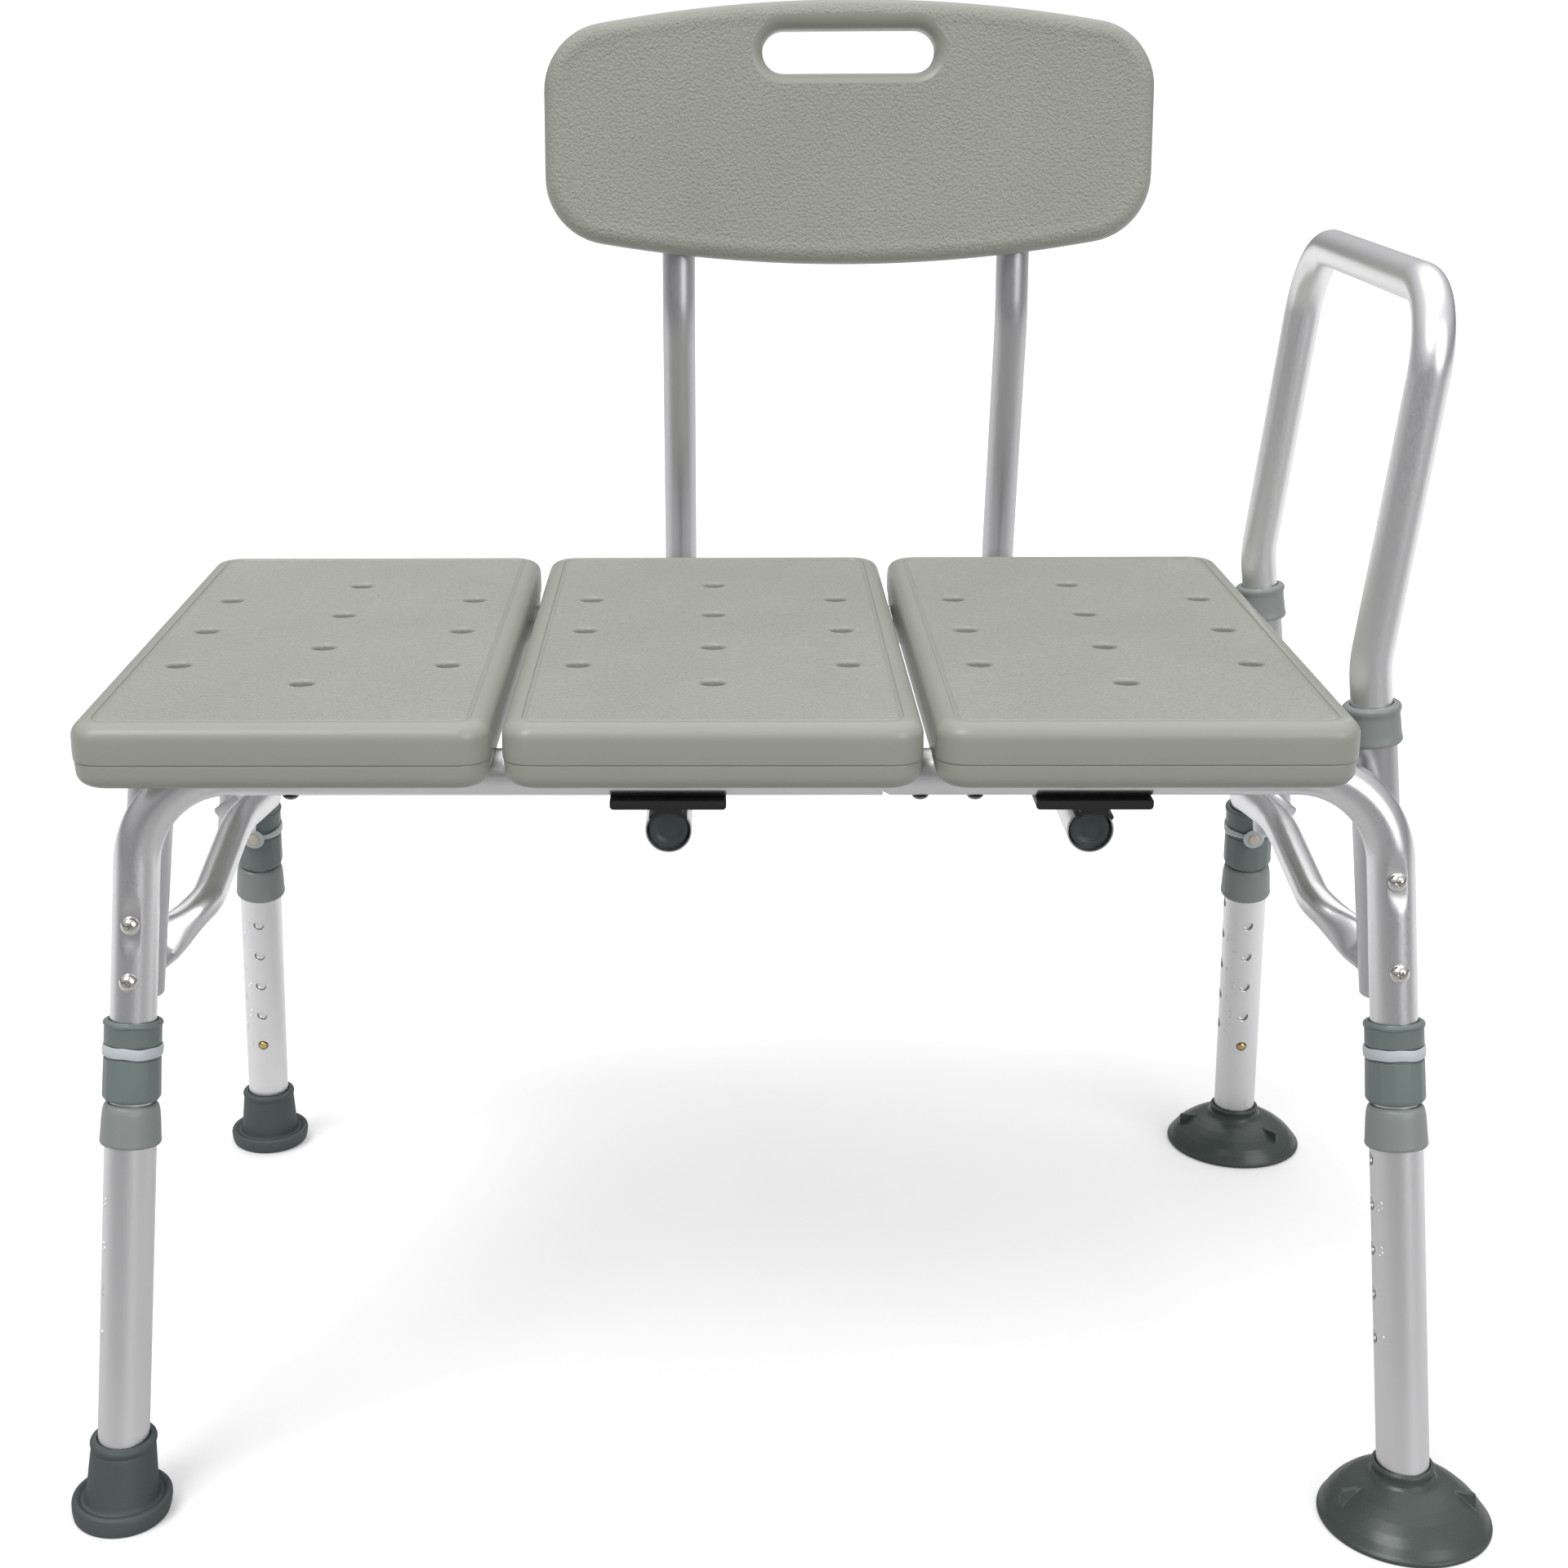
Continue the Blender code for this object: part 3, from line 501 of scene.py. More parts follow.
def piece(name, mesh, finishes, body, slot, where, stands_for=(), sharp=38, bevel=0.0, weighted=False):
    """A finished piece in its place and on its body. The slot is not used."""
    finishes = finishes if isinstance(finishes, (list, tuple)) else [finishes]
    mesh.name = name
    chosen = [face.material_index for face in mesh.polygons]  # clearing the materials sets these to 0
    mesh.materials.clear()
    for item in finishes:
        mesh.materials.append(item)
    mesh.polygons.foreach_set("material_index", [min(k, len(finishes) - 1) for k in chosen])
    mesh.shade_smooth()
    mesh.set_sharp_from_angle(angle=math.radians(sharp))
    obj = bpy.data.objects.new(name, mesh)
    bpy.context.scene.collection.objects.link(obj)
    obj.matrix_world = SHIFT @ (where or Matrix())
    if bevel:
        edge = obj.modifiers.new("Edges", "BEVEL")
        edge.width = bevel
        edge.segments = 3
        edge.limit_method = "ANGLE"
        edge.angle_limit = math.radians(35)
        edge.harden_normals = True
    if weighted:
        obj.modifiers.new("Normals", "WEIGHTED_NORMAL").keep_sharp = True
    bpy.context.view_layer.update()
    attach(obj, body)
    if stands_for:
        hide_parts(*stands_for)


def stand_in(name, mesh, finishes, body, slot, where=None, **options):
    """A piece that takes the place of the solid of the same name."""
    piece(f"vis_{name}", mesh, finishes, body, slot, where, (name,), **options)


def at(x, y, z=0.0):
    return Matrix.Translation((x, y, z))


def turn_x(angle):
    return Matrix.Rotation(angle, 4, "X")


def leg_point(side, end, height):
    drop = RAIL_Z - height
    return Vector((side * (CORNER_X + drop * LEG_LEAN_X), end * (RAIL_Y + drop * LEG_LEAN_Y), height))


def leg_frame(side, end):
    """Axes of a leg: origin on the floor, Z up along the leg, X nearly level to the right."""
    foot = leg_point(side, end, 0)
    up = (leg_point(side, end, RAIL_Z) - foot).normalized()
    across = Vector((1, 0, 0))
    across = (across - up * across.dot(up)).normalized()
    turn = Matrix((across, up.cross(across), up)).transposed()
    return Matrix.Translation(foot) @ turn.to_4x4()


def along(height):
    return height * LEG_STRETCH


def socket_point(side, end, height):
    return Vector((side * (SOCKET_X - SOCKET_LEAN * (height - SOCKET_REF_Z)), end * SOCKET_Y, height))


# --- Seat ---


def seat_outline(inset):
    half_w, half_d = PANEL_WIDTH / 2 - inset, SEAT_DEPTH / 2 - inset
    radius = SEAT_CORNER_R - 0.6 * inset
    loop = []
    for k, (sx, sy) in enumerate(((1, 1), (-1, 1), (-1, -1), (1, -1))):
        centre = (sx * (half_w - radius), sy * (half_d - radius))
        loop += arc(centre, radius, 90 * k, 90 * k + 90, 9)
    return loop


def seat_profile():
    """(inset, height) from the flat underside, round the edge, to the textured field on top."""
    t, r = SEAT_HALF_T, SEAT_EDGE_R
    low = [
        (0.0009 + r * (1 - math.sin(a)), -t + r * (1 - math.cos(a)))
        for a in (math.radians(10 * k) for k in range(10))
    ]
    seam = [(0.0006, -0.0048), (0.0007, -0.0040), (0.0011, -0.0037), (0.0004, -0.0034), (0.0001, -0.0028)]
    side = [(-0.0001, 0.0030), (0.0, 0.0080)]
    groove = [
        (0.0098, t), (0.0102, t - 0.0002), (0.0106, t - 0.0010), (0.0116, t - 0.0012),
        (0.0124, t - 0.0008), (0.0129, t - 0.0004), (0.0140, t - 0.0004),
    ]
    return low + seam + side + edge_round(r, t) + groove


def drain_cutter(x, y):
    t, lip = SEAT_HALF_T - 0.0004, 0.0022
    upper = [(DRAIN_R + inset, height) for inset, height in edge_round(lip, t, 6)]
    profile = [(DRAIN_R + lip, t + 0.002)] + upper[::-1]
    profile = [(0, t + 0.002)] + profile + [(r, -z) for r, z in reversed(profile)] + [(0, -t - 0.002)]
    return placed(turned(profile, sides=36), at(x, y))


def seat_panels():
    rings = []
    for inset, height in seat_profile():
        wobble = 0.00035 if abs(height + 0.0038) < 0.0009 else 0
        loop = seat_outline(inset)
        ring = []
        for x, y in loop:
            wave = math.sin(31 * x) * math.cos(47 * y) + 0.5 * math.sin(90 * x + 70 * y)
            ring.append((x, y, height + wobble * wave))
        rings.append(ring)
    blank = skin(rings)
    reach_x = PANEL_WIDTH / 2 - FIELD_INSET
    reach_y = SEAT_DEPTH / 2 - FIELD_INSET
    for face in blank.polygons:
        flat = face.normal.z > 0.9 and face.center.z > SEAT_HALF_T - 0.0009
        inside = abs(face.center.x) < reach_x and abs(face.center.y) < reach_y
        face.material_index = 1 if flat and inside else 0
    spots = [(0, (k - 1.5) * DRAIN_PITCH) for k in range(4)]
    spots += [(x, k * DRAIN_PITCH) for x in (-DRAIN_SIDE_X, DRAIN_SIDE_X) for k in (-1, 0, 1)]
    low = RAIL_Z - (SEAT_TOP_Z - SEAT_HALF_T)
    grooves = []
    for end in ENDS.values():
        y = end * RAIL_Y - SEAT_Y
        grooves.append(rod((-PANEL_WIDTH, y, low), (PANEL_WIDTH, y, low), RAIL_GROOVE_R))
    blank.materials.append(SAGE_RIM)
    blank.materials.append(SAGE_FIELD)
    made = cut(blank, joined([drain_cutter(x, y) for x, y in spots] + grooves))
    for k, name in enumerate(("left", "middle", "right")):
        place = at(SEAT_X + (k - 1) * PANEL_PITCH, SEAT_Y, SEAT_TOP_Z - SEAT_HALF_T)
        stand_in(
            f"seat_panel_{name}", made.copy(), (SAGE_RIM, SAGE_FIELD), "frame", "sage_plastic", place,
            sharp=50, weighted=True,
        )


# --- Frame ---


def dented(mesh, spot, outward, across):
    """Presses a flat patch into a tube around a screw."""
    for vertex in mesh.vertices:
        reach = vertex.co - spot
        out = reach.dot(outward)
        side = math.hypot(reach.dot(across), reach.dot(outward.cross(across)) * 0.75)
        if out > 0 and side < DENT_R:
            fade = 0.5 + 0.5 * math.cos(math.pi * side / DENT_R)
            limit = TUBE_R - DENT_DEPTH
            if out > limit:
                vertex.co -= outward * (out - limit) * min(1.0, fade * 1.6)
    return mesh


def dense(path, top):
    """The path with its stretch up to the top height broken into short steps, for a dent."""
    made = [path[0]]
    low = True
    for point in path[1:]:
        run = point - made[-1]
        count = max(1, round(run.length / DENT_STEP)) if low else 1
        origin = made[-1]
        made += [origin + run * (k + 1) / count for k in range(count)]
        low = low and point.z <= top
    return made


def frame_rails():
    def swage(point):
        return SWAGE_R if point.x < SPLICE_X + 2 * GAP else TUBE_R

    for name, side, end in LEGS:
        hand = name.split("_")[1]
        corners = [(leg_point(side, end, FRAME_END_Z), 0), (leg_point(side, end, RAIL_Z), RAIL_BEND_R)]
        stops = [SPLICE_X] if side < 0 else [SPLICE_X + 0.004, SPLICE_X + GAP, SPLICE_X - SWAGE_LENGTH]
        corners += [((x, end * RAIL_Y, RAIL_Z), 0) for x in stops]
        path = dense(rounded(corners, 3), DENT_TOP_Z)
        mesh = swept(path, TUBE_R, FRAME_WALL, 96, swage if side > 0 else None)
        turn = leg_frame(side, end).to_3x3()
        outward = turn @ Vector((0, end, 0))
        dented(mesh, leg_point(side, end, SCREW_Z[hand]["upper"]), outward, turn @ Vector((1, 0, 0)))
        stand_in(f"frame_{name}", mesh, TUBE, "frame", "aluminium_tube")


def arm_sockets():
    for name, side, end in LEGS:
        top = SOCKET_TOP_Z[name.split("_")[1]]
        path = [socket_point(side, end, height) for height in (SOCKET_BOTTOM_Z, top)]
        mesh = swept(path, TUBE_R, SOCKET_WALL)
        stand_in(f"arm_socket_{name}", mesh, SHADED_SOCKET_TUBE, "frame", "aluminium_tube")


def arm_rail():
    top_x = socket_point(1, 1, ARM_KINK_Z).x + ARM_LEAN_OUT * (ARM_TOP_Z - ARM_KINK_Z)
    corners = []
    for end in ENDS.values():
        leg = [
            (socket_point(1, end, ARM_END_Z), 0),
            (socket_point(1, end, ARM_KINK_Z), ARM_KINK_R),
            (Vector((top_x, end * SOCKET_Y, ARM_TOP_Z)), ARM_BEND_R),
        ]
        corners += leg if end < 0 else reversed(leg)
    stand_in("arm_rail", swept(rounded(corners, 3), ARM_R, ARM_WALL), LIT_ARM_TUBE, "arm", "aluminium_tube")
    stretch = math.sqrt(1 + SOCKET_LEAN**2)
    low = ARM_COLLAR_Z[0]
    high = (ARM_COLLAR_Z[1] - low) * stretch
    ledge = (SOCKET_TOP_Z["right"] - low) * stretch + GAP
    wide, narrow = TUBE_R + 2 * GAP, ARM_R + 2 * GAP
    outside = [
        (narrow, high), (0.0140, high), (0.0155, high - 0.0012), (0.0157, high - 0.0032),
        (0.0150, high - 0.0048), (0.0148, high - 0.0062), (0.0152, 0.0045), (0.0158, 0.0012), (0.0150, 0),
    ]
    profile = softened(outside, 0.0012) + [(wide, 0), (wide, ledge), (narrow, ledge)]
    lean = Matrix.Rotation(-math.atan(SOCKET_LEAN), 4, "Y")
    for end in ENDS:
        spot = Matrix.Translation(socket_point(1, ENDS[end], low)) @ lean
        stand_in(f"arm_collar_{end}", turned(profile, True), PALE_COLLAR, "frame", "grey_plastic", spot)


def brace_path():
    """Centres of a brace's sections, from its front end to its middle."""
    inner = (SOCKET_X - BRACE_INNER[0], -BRACE_END_Y, BRACE_INNER[1])
    corners = [
        (inner, 0),
        ((BRACE_X, -BRACE_BEND_Y, BRACE_BEND_Z), BRACE_BEND_R),
        ((BRACE_X, -0.020, BRACE_APEX_Z - 0.0015), 0),
        ((BRACE_X, 0, BRACE_APEX_Z), 0),
    ]
    path = rounded(corners, 6)
    first = Vector((SOCKET_X + BRACE_TIP[0], -BRACE_END_Y, BRACE_TIP[1]))
    press = [path[0].lerp(path[1], 0.09 * k) for k in range(1, PRESS_STEPS + 1)]
    return [first, first + (path[0] - first) * 0.08, path[0]] + press + path[1:]


def side_braces():
    flat_t, flat_w = BRACE_FLAT
    for hand, side in HANDS.items():
        path = brace_path()
        normal = Vector((0, 1, 0))
        rings = []
        for k, (centre, ahead) in enumerate(zip(path, directions(path))):
            if k == len(path) - 1:
                ahead = Vector((0, 1, 0))
            normal = (normal - ahead * normal.dot(ahead)).normalized()
            ease = max(0.0, min(1.0, (k - 2) / PRESS_STEPS))
            ease = ease * ease * (3 - 2 * ease)
            thick, wide = flat_t + (BRACE_R - flat_t) * ease, flat_w + (BRACE_R - flat_w) * ease
            if k == 0:
                thick, wide = thick * 0.7, wide * 0.86
            across = ahead.cross(normal)
            angles = [math.tau * i / 36 for i in range(36)]
            thin, broad = normal * thick, across * wide
            rings.append([centre + thin * math.sin(a) + broad * math.cos(a) for a in angles])
        rings = [[Vector((side * p.x, p.y, p.z)) for p in ring] for ring in rings]
        rings += [[Vector((p.x, -p.y, p.z)) for p in ring] for ring in rings[-2::-1]]
        stand_in(f"side_brace_{hand}", skin(rings), TUBE, "frame", "aluminium_tube")


# --- Screws ---


def cross_recess(size, depth, top):
    bars = []
    for angle in (0, math.pi / 2):
        long, wide = 0.35 * size, 0.16 * size
        bar = [(-long, -wide), (long, -wide), (long, wide), (-long, wide)]
        floor = [(x * 0.45, y * 0.6, top - depth) for x, y in bar]
        mouth = [(x * 1.5, y * 1.25, top + 0.001) for x, y in bar]
        bars.append(placed(skin([floor, mouth]), Matrix.Rotation(angle, 4, "Z")))
    return bars


def domed_screw(radius, height, shank_radius, shank):
    dome = [
        (0, height), (radius * 0.45, height * 0.94), (radius * 0.8, height * 0.62),
        (radius, height * 0.18), (radius, 0),
    ]
    tail = [(shank_radius, 0), (shank_radius, -shank), (0, -shank)]
    head = turned(softened(dome, 0.0012) + tail, sides=40)
    return cut(head, *cross_recess(radius, height * 0.8, height))


def cap_nut(size):
    """A hexagonal nut with a domed cap, base at the origin, facing +Z."""
    hexagon = [(size * math.cos(math.tau * k / 6), size * math.sin(math.tau * k / 6)) for k in range(6)]
    levels = ((0.9, 0), (1, 0.0005), (1, 0.0030))
    body = skin([[(x * grow, y * grow, z) for x, y in hexagon] for grow, z in levels])
    dome = [
        (0, 0.0026), (size * 0.8, 0.0026), (size * 0.8, 0.0034), (size * 0.72, 0.0052),
        (size * 0.45, 0.0068), (0, 0.0072),
    ]
    return joined([body, turned(softened(dome, 0.0008), sides=32)])


def leg_screws():
    for name, side, end in LEGS:
        hand = name.split("_")[1]
        for level, height in SCREW_Z[hand].items():
            face = TUBE_R + GAP - (0.0010 if level == "upper" else 0)
            axis_y = abs(leg_point(side, end, height).y)
            back = axis_y - (SOCKET_Y - TUBE_R if level == "upper" else BRACE_END_Y - BRACE_FLAT[0])
            reach = back * LEG_STRETCH + 0.0004
            out = leg_frame(side, end) @ at(0, end * face, along(height)) @ turn_x(-end * math.pi / 2)
            spin = Matrix.Rotation(0.5 + side * 0.8 + height * 9, 4, "Z")
            mesh = placed(domed_screw(SCREW_HEAD_R, 0.0034, SCREW_SHANK_R, face + reach + 0.002), spin)
            known = (f"leg_screw_{name}_{level}",) if end < 0 else ()
            label = f"vis_leg_screw_{name}_{level}"
            piece(label, mesh, NICKEL, "frame", "nickel_screw", out, known, sharp=30)
            inner = leg_frame(side, end) @ at(0, -end * reach, along(height)) @ turn_x(end * math.pi / 2)
            label = f"vis_cap_nut_{name}_{level}"
            piece(label, cap_nut(CAP_NUT_R), NICKEL, "frame", "nickel_screw", inner, sharp=30)


# --- Legs ---


def faceted(radius, angle, sides, amount):
    """A radius drawn in toward a polygon's flats."""
    step = math.tau / sides
    off = (angle + step / 2) % step - step / 2
    flat = math.cos(step / 2) / math.cos(off)
    return radius * (1 - amount + amount * flat)


def upper_collar(name, leg):
    low, high = (along(height) for height in UPPER_COLLAR_Z)
    slot_low, slot_high = along(STRAP_Z[0]) - 0.0016, along(STRAP_Z[1]) + 0.0004
    step = along(FRAME_END_Z)
    r = UPPER_COLLAR_R
    wide, narrow = TUBE_R + 0.0007, INNER_R + 0.0005
    lip_low = high - 0.0030
    outside = [
        (wide, high), (r - 0.0018, high), (r - 0.0004, high - 0.0007), (r, high - 0.0016),
        (r, lip_low + 0.0004), (r - 0.0007, lip_low), (r - 0.0006, slot_high),
        (r - 0.0013, slot_high - 0.0003), (r - 0.0013, slot_low + 0.0003), (r - 0.0006, slot_low),
        (r - 0.0003, low + 0.0024), (r - 0.0006, low + 0.0012), (r - 0.0016, low), (narrow, low),
    ]
    profile = softened(outside, 0.0007, steps=3) + [(narrow, step - GAP), (wide, step - GAP)]

    def shape(radius, height, angle):
        if radius < r - 0.0016:
            return radius, height
        wave = max(0.0, 1 - abs(height - lip_low) / 0.0012)
        scallop = wave * 0.0007 * math.cos(5 * angle)
        flats = 0.7 if height < lip_low - 0.0004 else 0.0
        return faceted(radius, angle, 12, flats), height + scallop

    mesh = turned(profile, True, 112, shape)
    stand_in(f"upper_collar_{name}", mesh, COLLAR, "frame", "grey_plastic", leg, sharp=40)


def lower_collar(name, leg):
    low, high = (along(height) for height in LOWER_COLLAR_Z)
    ledge = along(OUTER_TOP_Z) + GAP
    skirt, narrow = OUTER_R + 0.0005, INNER_R + 0.0005
    outside = [
        (narrow, high), (0.0136, high), (0.0150, high - 0.0012), (0.0158, high - 0.0042),
        (0.0162, high - 0.0090), (0.0167, low + 0.0040), (0.0170, low + 0.0014), (0.0163, low),
        (skirt, low),
    ]
    profile = softened(outside, 0.0024, steps=6) + [(skirt, ledge), (narrow, ledge)]
    mesh = turned(profile, True)
    stand_in(f"lower_collar_{name}", mesh, PALE_COLLAR, f"leg_{name}", "grey_plastic", leg)


def inner_tube(name, leg):
    low, step, top = along(INNER_END_Z), along(FRAME_END_Z), along(SPIGOT_TOP_Z)
    wall = INNER_WALL
    outside = [(SPIGOT_R, top), (SPIGOT_R, step - GAP), (INNER_R, step - 0.0016), (INNER_R, low)]
    inside = [
        (INNER_R - wall, low), (INNER_R - wall, step - 0.0018), (SPIGOT_R - wall, step),
        (SPIGOT_R - wall, top),
    ]
    stand_in(f"inner_tube_{name}", turned(outside + inside, True), TUBE, "frame", "aluminium_tube", leg)


def numeral(digit, radius, angle, height):
    """A raised numeral wrapped on a tube."""
    text = bpy.data.curves.new("numeral", "FONT")
    text.body = str(digit)
    text.size = NUMERAL_SIZE
    text.align_x = "CENTER"
    text.align_y = "CENTER"
    text.extrude = 0.00022
    text.bevel_depth = 0.00008
    holder = bpy.data.objects.new("numeral", text)
    bpy.context.scene.collection.objects.link(holder)
    graph = bpy.context.evaluated_depsgraph_get()
    mesh = bpy.data.meshes.new_from_object(holder.evaluated_get(graph))
    bpy.data.objects.remove(holder)
    for vertex in mesh.vertices:
        u, v, w = vertex.co
        turn = math.radians(angle) + u / radius
        out = radius + w
        vertex.co = (out * math.cos(turn), out * math.sin(turn), height + v)
    return mesh


def outer_tube(name, end, leg, low):
    top = along(OUTER_TOP_Z)
    body = f"leg_{name}"
    mesh = swept([Vector((0, 0, low)), Vector((0, 0, top))], OUTER_R, OUTER_WALL, 64)
    inner, outer = OUTER_R / 2, OUTER_R + 0.005
    first = along(BUTTON_Z)
    rods, digits = [], []
    odd_angle = 270 if end > 0 else 90
    for k in range(HOLE_COUNT):
        height = first + k * HOLE_PITCH
        rods.append(rod((0, -end * inner, height), (0, -end * outer, height), HOLE_R))
        digits.append(numeral(2 * k + 1, OUTER_R, odd_angle - end * 34, height))
        height += HOLE_PITCH / 2
        rods.append(rod((-inner, 0, height), (-outer, 0, height), HOLE_R))
        if k < 4:
            digits.append(numeral(2 * k + 2, OUTER_R, 214, height))
    mesh = cut(mesh, joined(rods))
    stand_in(f"outer_tube_{name}", mesh, LEG_TUBE, body, "aluminium_tube", leg, sharp=30)
    piece(f"vis_numerals_{name}", joined(digits), LEG_TUBE, body, "aluminium_tube", leg, sharp=30)


def snap_button(name, end, leg):
    cap = OUTER_R + 0.0017
    dome = [
        (0, cap), (0.0015, cap - 0.0002), (0.0026, cap - 0.0010), (0.0031, cap - 0.0022),
        (0.0031, 0.0095),
    ]
    foot = [(0.0045, 0.0095), (0.0045, 0.0080), (0, 0.0080)]
    mesh = turned(softened(dome, 0.0006) + foot, sides=32)
    spot = leg @ at(0, 0, along(BUTTON_Z)) @ turn_x(end * math.pi / 2)
    stand_in(f"snap_button_{name}", mesh, BRASS, f"button_{name}", "brass", spot)


def lock_pin(name, end, leg):
    """The pull pin with its cream cap, the milky disc it is held by, and the strap round the collar."""
    seat, face = UPPER_COLLAR_R + 2 * GAP, UPPER_COLLAR_R + 0.0036
    spot = leg @ at(0, 0, along(PIN_Z)) @ turn_x(end * math.pi / 2)
    head = [(0, face), (0.0030, face - 0.0001), (0.0036, face - 0.0008), (0.0037, seat + 0.0006)]
    shank = [(PIN_R, seat + 0.0006), (PIN_R, 0.0072), (PIN_R - 0.0006, 0.0066), (0, 0.0066)]
    pin = turned(softened(head, 0.0005) + shank, sides=40)
    stand_in(f"lock_pin_{name}", pin, CREAM, f"pin_{name}", "cream_plastic", spot)
    disc = [
        (0.0024, seat), (0.0066, seat), (0.0071, seat + 0.0006), (0.0068, seat + 0.0014),
        (0.0050, seat + 0.0016), (0.0040, seat + 0.0012), (0.0024, seat + 0.0012),
    ]
    ring = turned(softened(disc, 0.0005, closed=True), True, sides=48)
    piece(f"vis_pin_disc_{name}", ring, STRAP, f"pin_{name}", "cream_plastic", spot)
    low, high = along(STRAP_Z[0]), along(STRAP_Z[1])
    middle = (low + high) / 2
    facing = -end * math.pi / 2

    def band(radius, height, angle):
        away = abs((angle - facing + math.pi) % math.tau - math.pi)
        narrow = 0.55 + 0.45 * min(1.0, max(0.0, (away - 0.55) / 0.8))
        wave = 0.0003 * math.sin(3 * angle + 1) + 0.0002 * math.sin(7 * angle)
        return radius + 0.00012 * math.sin(5 * angle), middle + (height - middle) * narrow + wave

    r = UPPER_COLLAR_R - 0.0010
    outline = [
        (r, low), (r + 0.0010, low + 0.0001), (r + 0.0013, middle), (r + 0.0010, high - 0.0001),
        (r, high),
    ]
    strap = turned(softened(outline, 0.0004, closed=True), True, 72, band)
    piece(f"vis_pin_strap_{name}", strap, STRAP, "frame", "cream_plastic", leg)


def tip_profile():
    h = TIP_HEIGHT
    outside = [
        (0.0160, h), (0.0182, h - 0.0006), (0.0188, h - 0.0022), (0.0184, h - 0.0038),
        (0.0177, h - 0.0048), (0.0182, h - 0.0062), (0.0200, 0.0160), (0.0206, 0.0122),
        (0.0214, 0.0102), (0.0228, 0.0098), (0.0244, 0.0110), (0.0262, 0.0118), (0.0277, 0.0108),
        (TIP_R, 0.0088), (0.0277, 0.0045), (0.0268, 0.0010), (0.0258, 0),
    ]
    base = [
        (0.0200, 0), (0.0196, 0.0012), (0.0150, 0.0012), (0.0146, 0), (0.0090, 0), (0.0086, 0.0012),
        (0, 0.0012),
    ]
    return [(0, TIP_FLOOR_Z), (FOOT_BORE_R, TIP_FLOOR_Z), (FOOT_BORE_R, h)] + softened(outside, 0.0012) + base


CUP_SLOPE = [
    (0.0174, 0.0262), (0.0182, 0.0250), (0.0198, 0.0239), (0.0222, 0.0230), (0.0255, 0.0219),
    (0.0300, 0.0197), (0.0350, 0.0163), (0.0400, 0.0119), (0.0434, 0.0078),
    (0.0452, 0.0050), (0.0462, 0.0034), (0.0472, 0.0026), (CUP_R, 0.0016), (CUP_R - 0.0002, 0.0006),
    (CUP_R - 0.0010, 0),
]


def cup_profile():
    h = CUP_HEIGHT
    bore = [(0, CUP_FLOOR_Z), (FOOT_BORE_R, CUP_FLOOR_Z), (FOOT_BORE_R, h)]
    neck = [
        (0.0161, h), (0.0167, h - 0.0003), (0.0171, h - 0.0012), (0.0169, h - 0.0024), (0.0166, 0.0282),
        (0.0169, 0.0264),
    ]
    hollow = [(CUP_R - 0.0045, 0.0004), (0.0300, 0.0050), (0, 0.0075)]
    return bore + softened(neck + CUP_SLOPE, 0.0006, steps=3) + hollow


def cup_lug(angle, lean):
    """A finger tab on the cup's dome: an upright radial fin with a wider root."""

    def slab(corners, half_w, low_w, low):
        widths = [low_w if k in low else half_w for k in range(len(corners))]
        return skin([[(x, way * w, z) for (x, z), w in zip(corners, widths)] for way in (-1, 1)])

    top = [(0.0250, 0.0204), (0.0262, 0.0216), (0.0378, 0.0216), (0.0388, 0.0206)]
    fin = slab(top + [(0.0394, 0.0102), (0.0250, 0.0190)], 0.0014, 0.0022, (4, 5))
    base = [(0.0270, 0.0222), (0.0392, 0.0142), (0.0392, 0.0100), (0.0270, 0.0180)]
    root = slab(base, 0.0016, 0.0042, (2, 3))
    return placed(placed(joined([fin, root]), Matrix.Rotation(angle, 4, "Z")), lean)


def foot(name, side, end):
    kind, rubber = ("rubber_tip", RUBBER) if side < 0 else ("suction_cup", CUP_RUBBER)
    body = f"leg_{name}"
    lean = Matrix.Identity(4)
    lean[0][2] = -side * LEG_LEAN_X
    lean[1][2] = -end * LEG_LEAN_Y
    spot = Matrix.Translation(leg_point(side, end, 0))
    profile = tip_profile() if side < 0 else cup_profile()
    mesh = placed(turned(profile, sides=88), lean)
    stand_in(f"{kind}_{name}", mesh, rubber, body, "grey_rubber", spot, sharp=40)
    if side > 0:
        lugs = joined([cup_lug(math.radians(turn), lean) for turn in CUP_TABS[end]])
        piece(f"vis_cup_lugs_{name}", lugs, CUP_RUBBER, body, "grey_rubber", spot, sharp=30, bevel=0.0004)


def legs():
    for name, side, end in LEGS:
        leg = leg_frame(side, end)
        upper_collar(name, leg)
        lower_collar(name, leg)
        inner_tube(name, leg)
        floor_z = TIP_FLOOR_Z if side < 0 else CUP_FLOOR_Z
        outer_tube(name, end, leg, along(floor_z + TUBE_END_RISE))
        snap_button(name, end, leg)
        lock_pin(name, end, leg)
        foot(name, side, end)


# --- Backrest ---


def back_outline(inset):
    """The panel's outline, bowed at top and bottom, with round corners. It runs anticlockwise."""
    half_w, half_h, radius = PANEL_HALF_W - inset, PANEL_HALF_H - inset, PANEL_CORNER_R - inset
    slope = math.degrees(math.atan(2 * PANEL_BOW * (half_w - radius) / PANEL_BOW_SPAN**2))
    edge_x = half_w - radius + radius * math.sin(math.radians(slope))
    xs = [edge_x * (1 - k / 16) for k in range(33)]
    crest = [(x, half_h - PANEL_BOW * (x / PANEL_BOW_SPAN) ** 2) for x in xs]
    centre = (half_w - radius, crest[0][1] - radius * math.cos(math.radians(slope)))
    corner = arc(centre, radius, 0, 90 - slope, 12)
    upper = corner + crest[1:-1] + [(-x, y) for x, y in reversed(corner)]
    return upper + [(-x, -y) for x, y in upper]


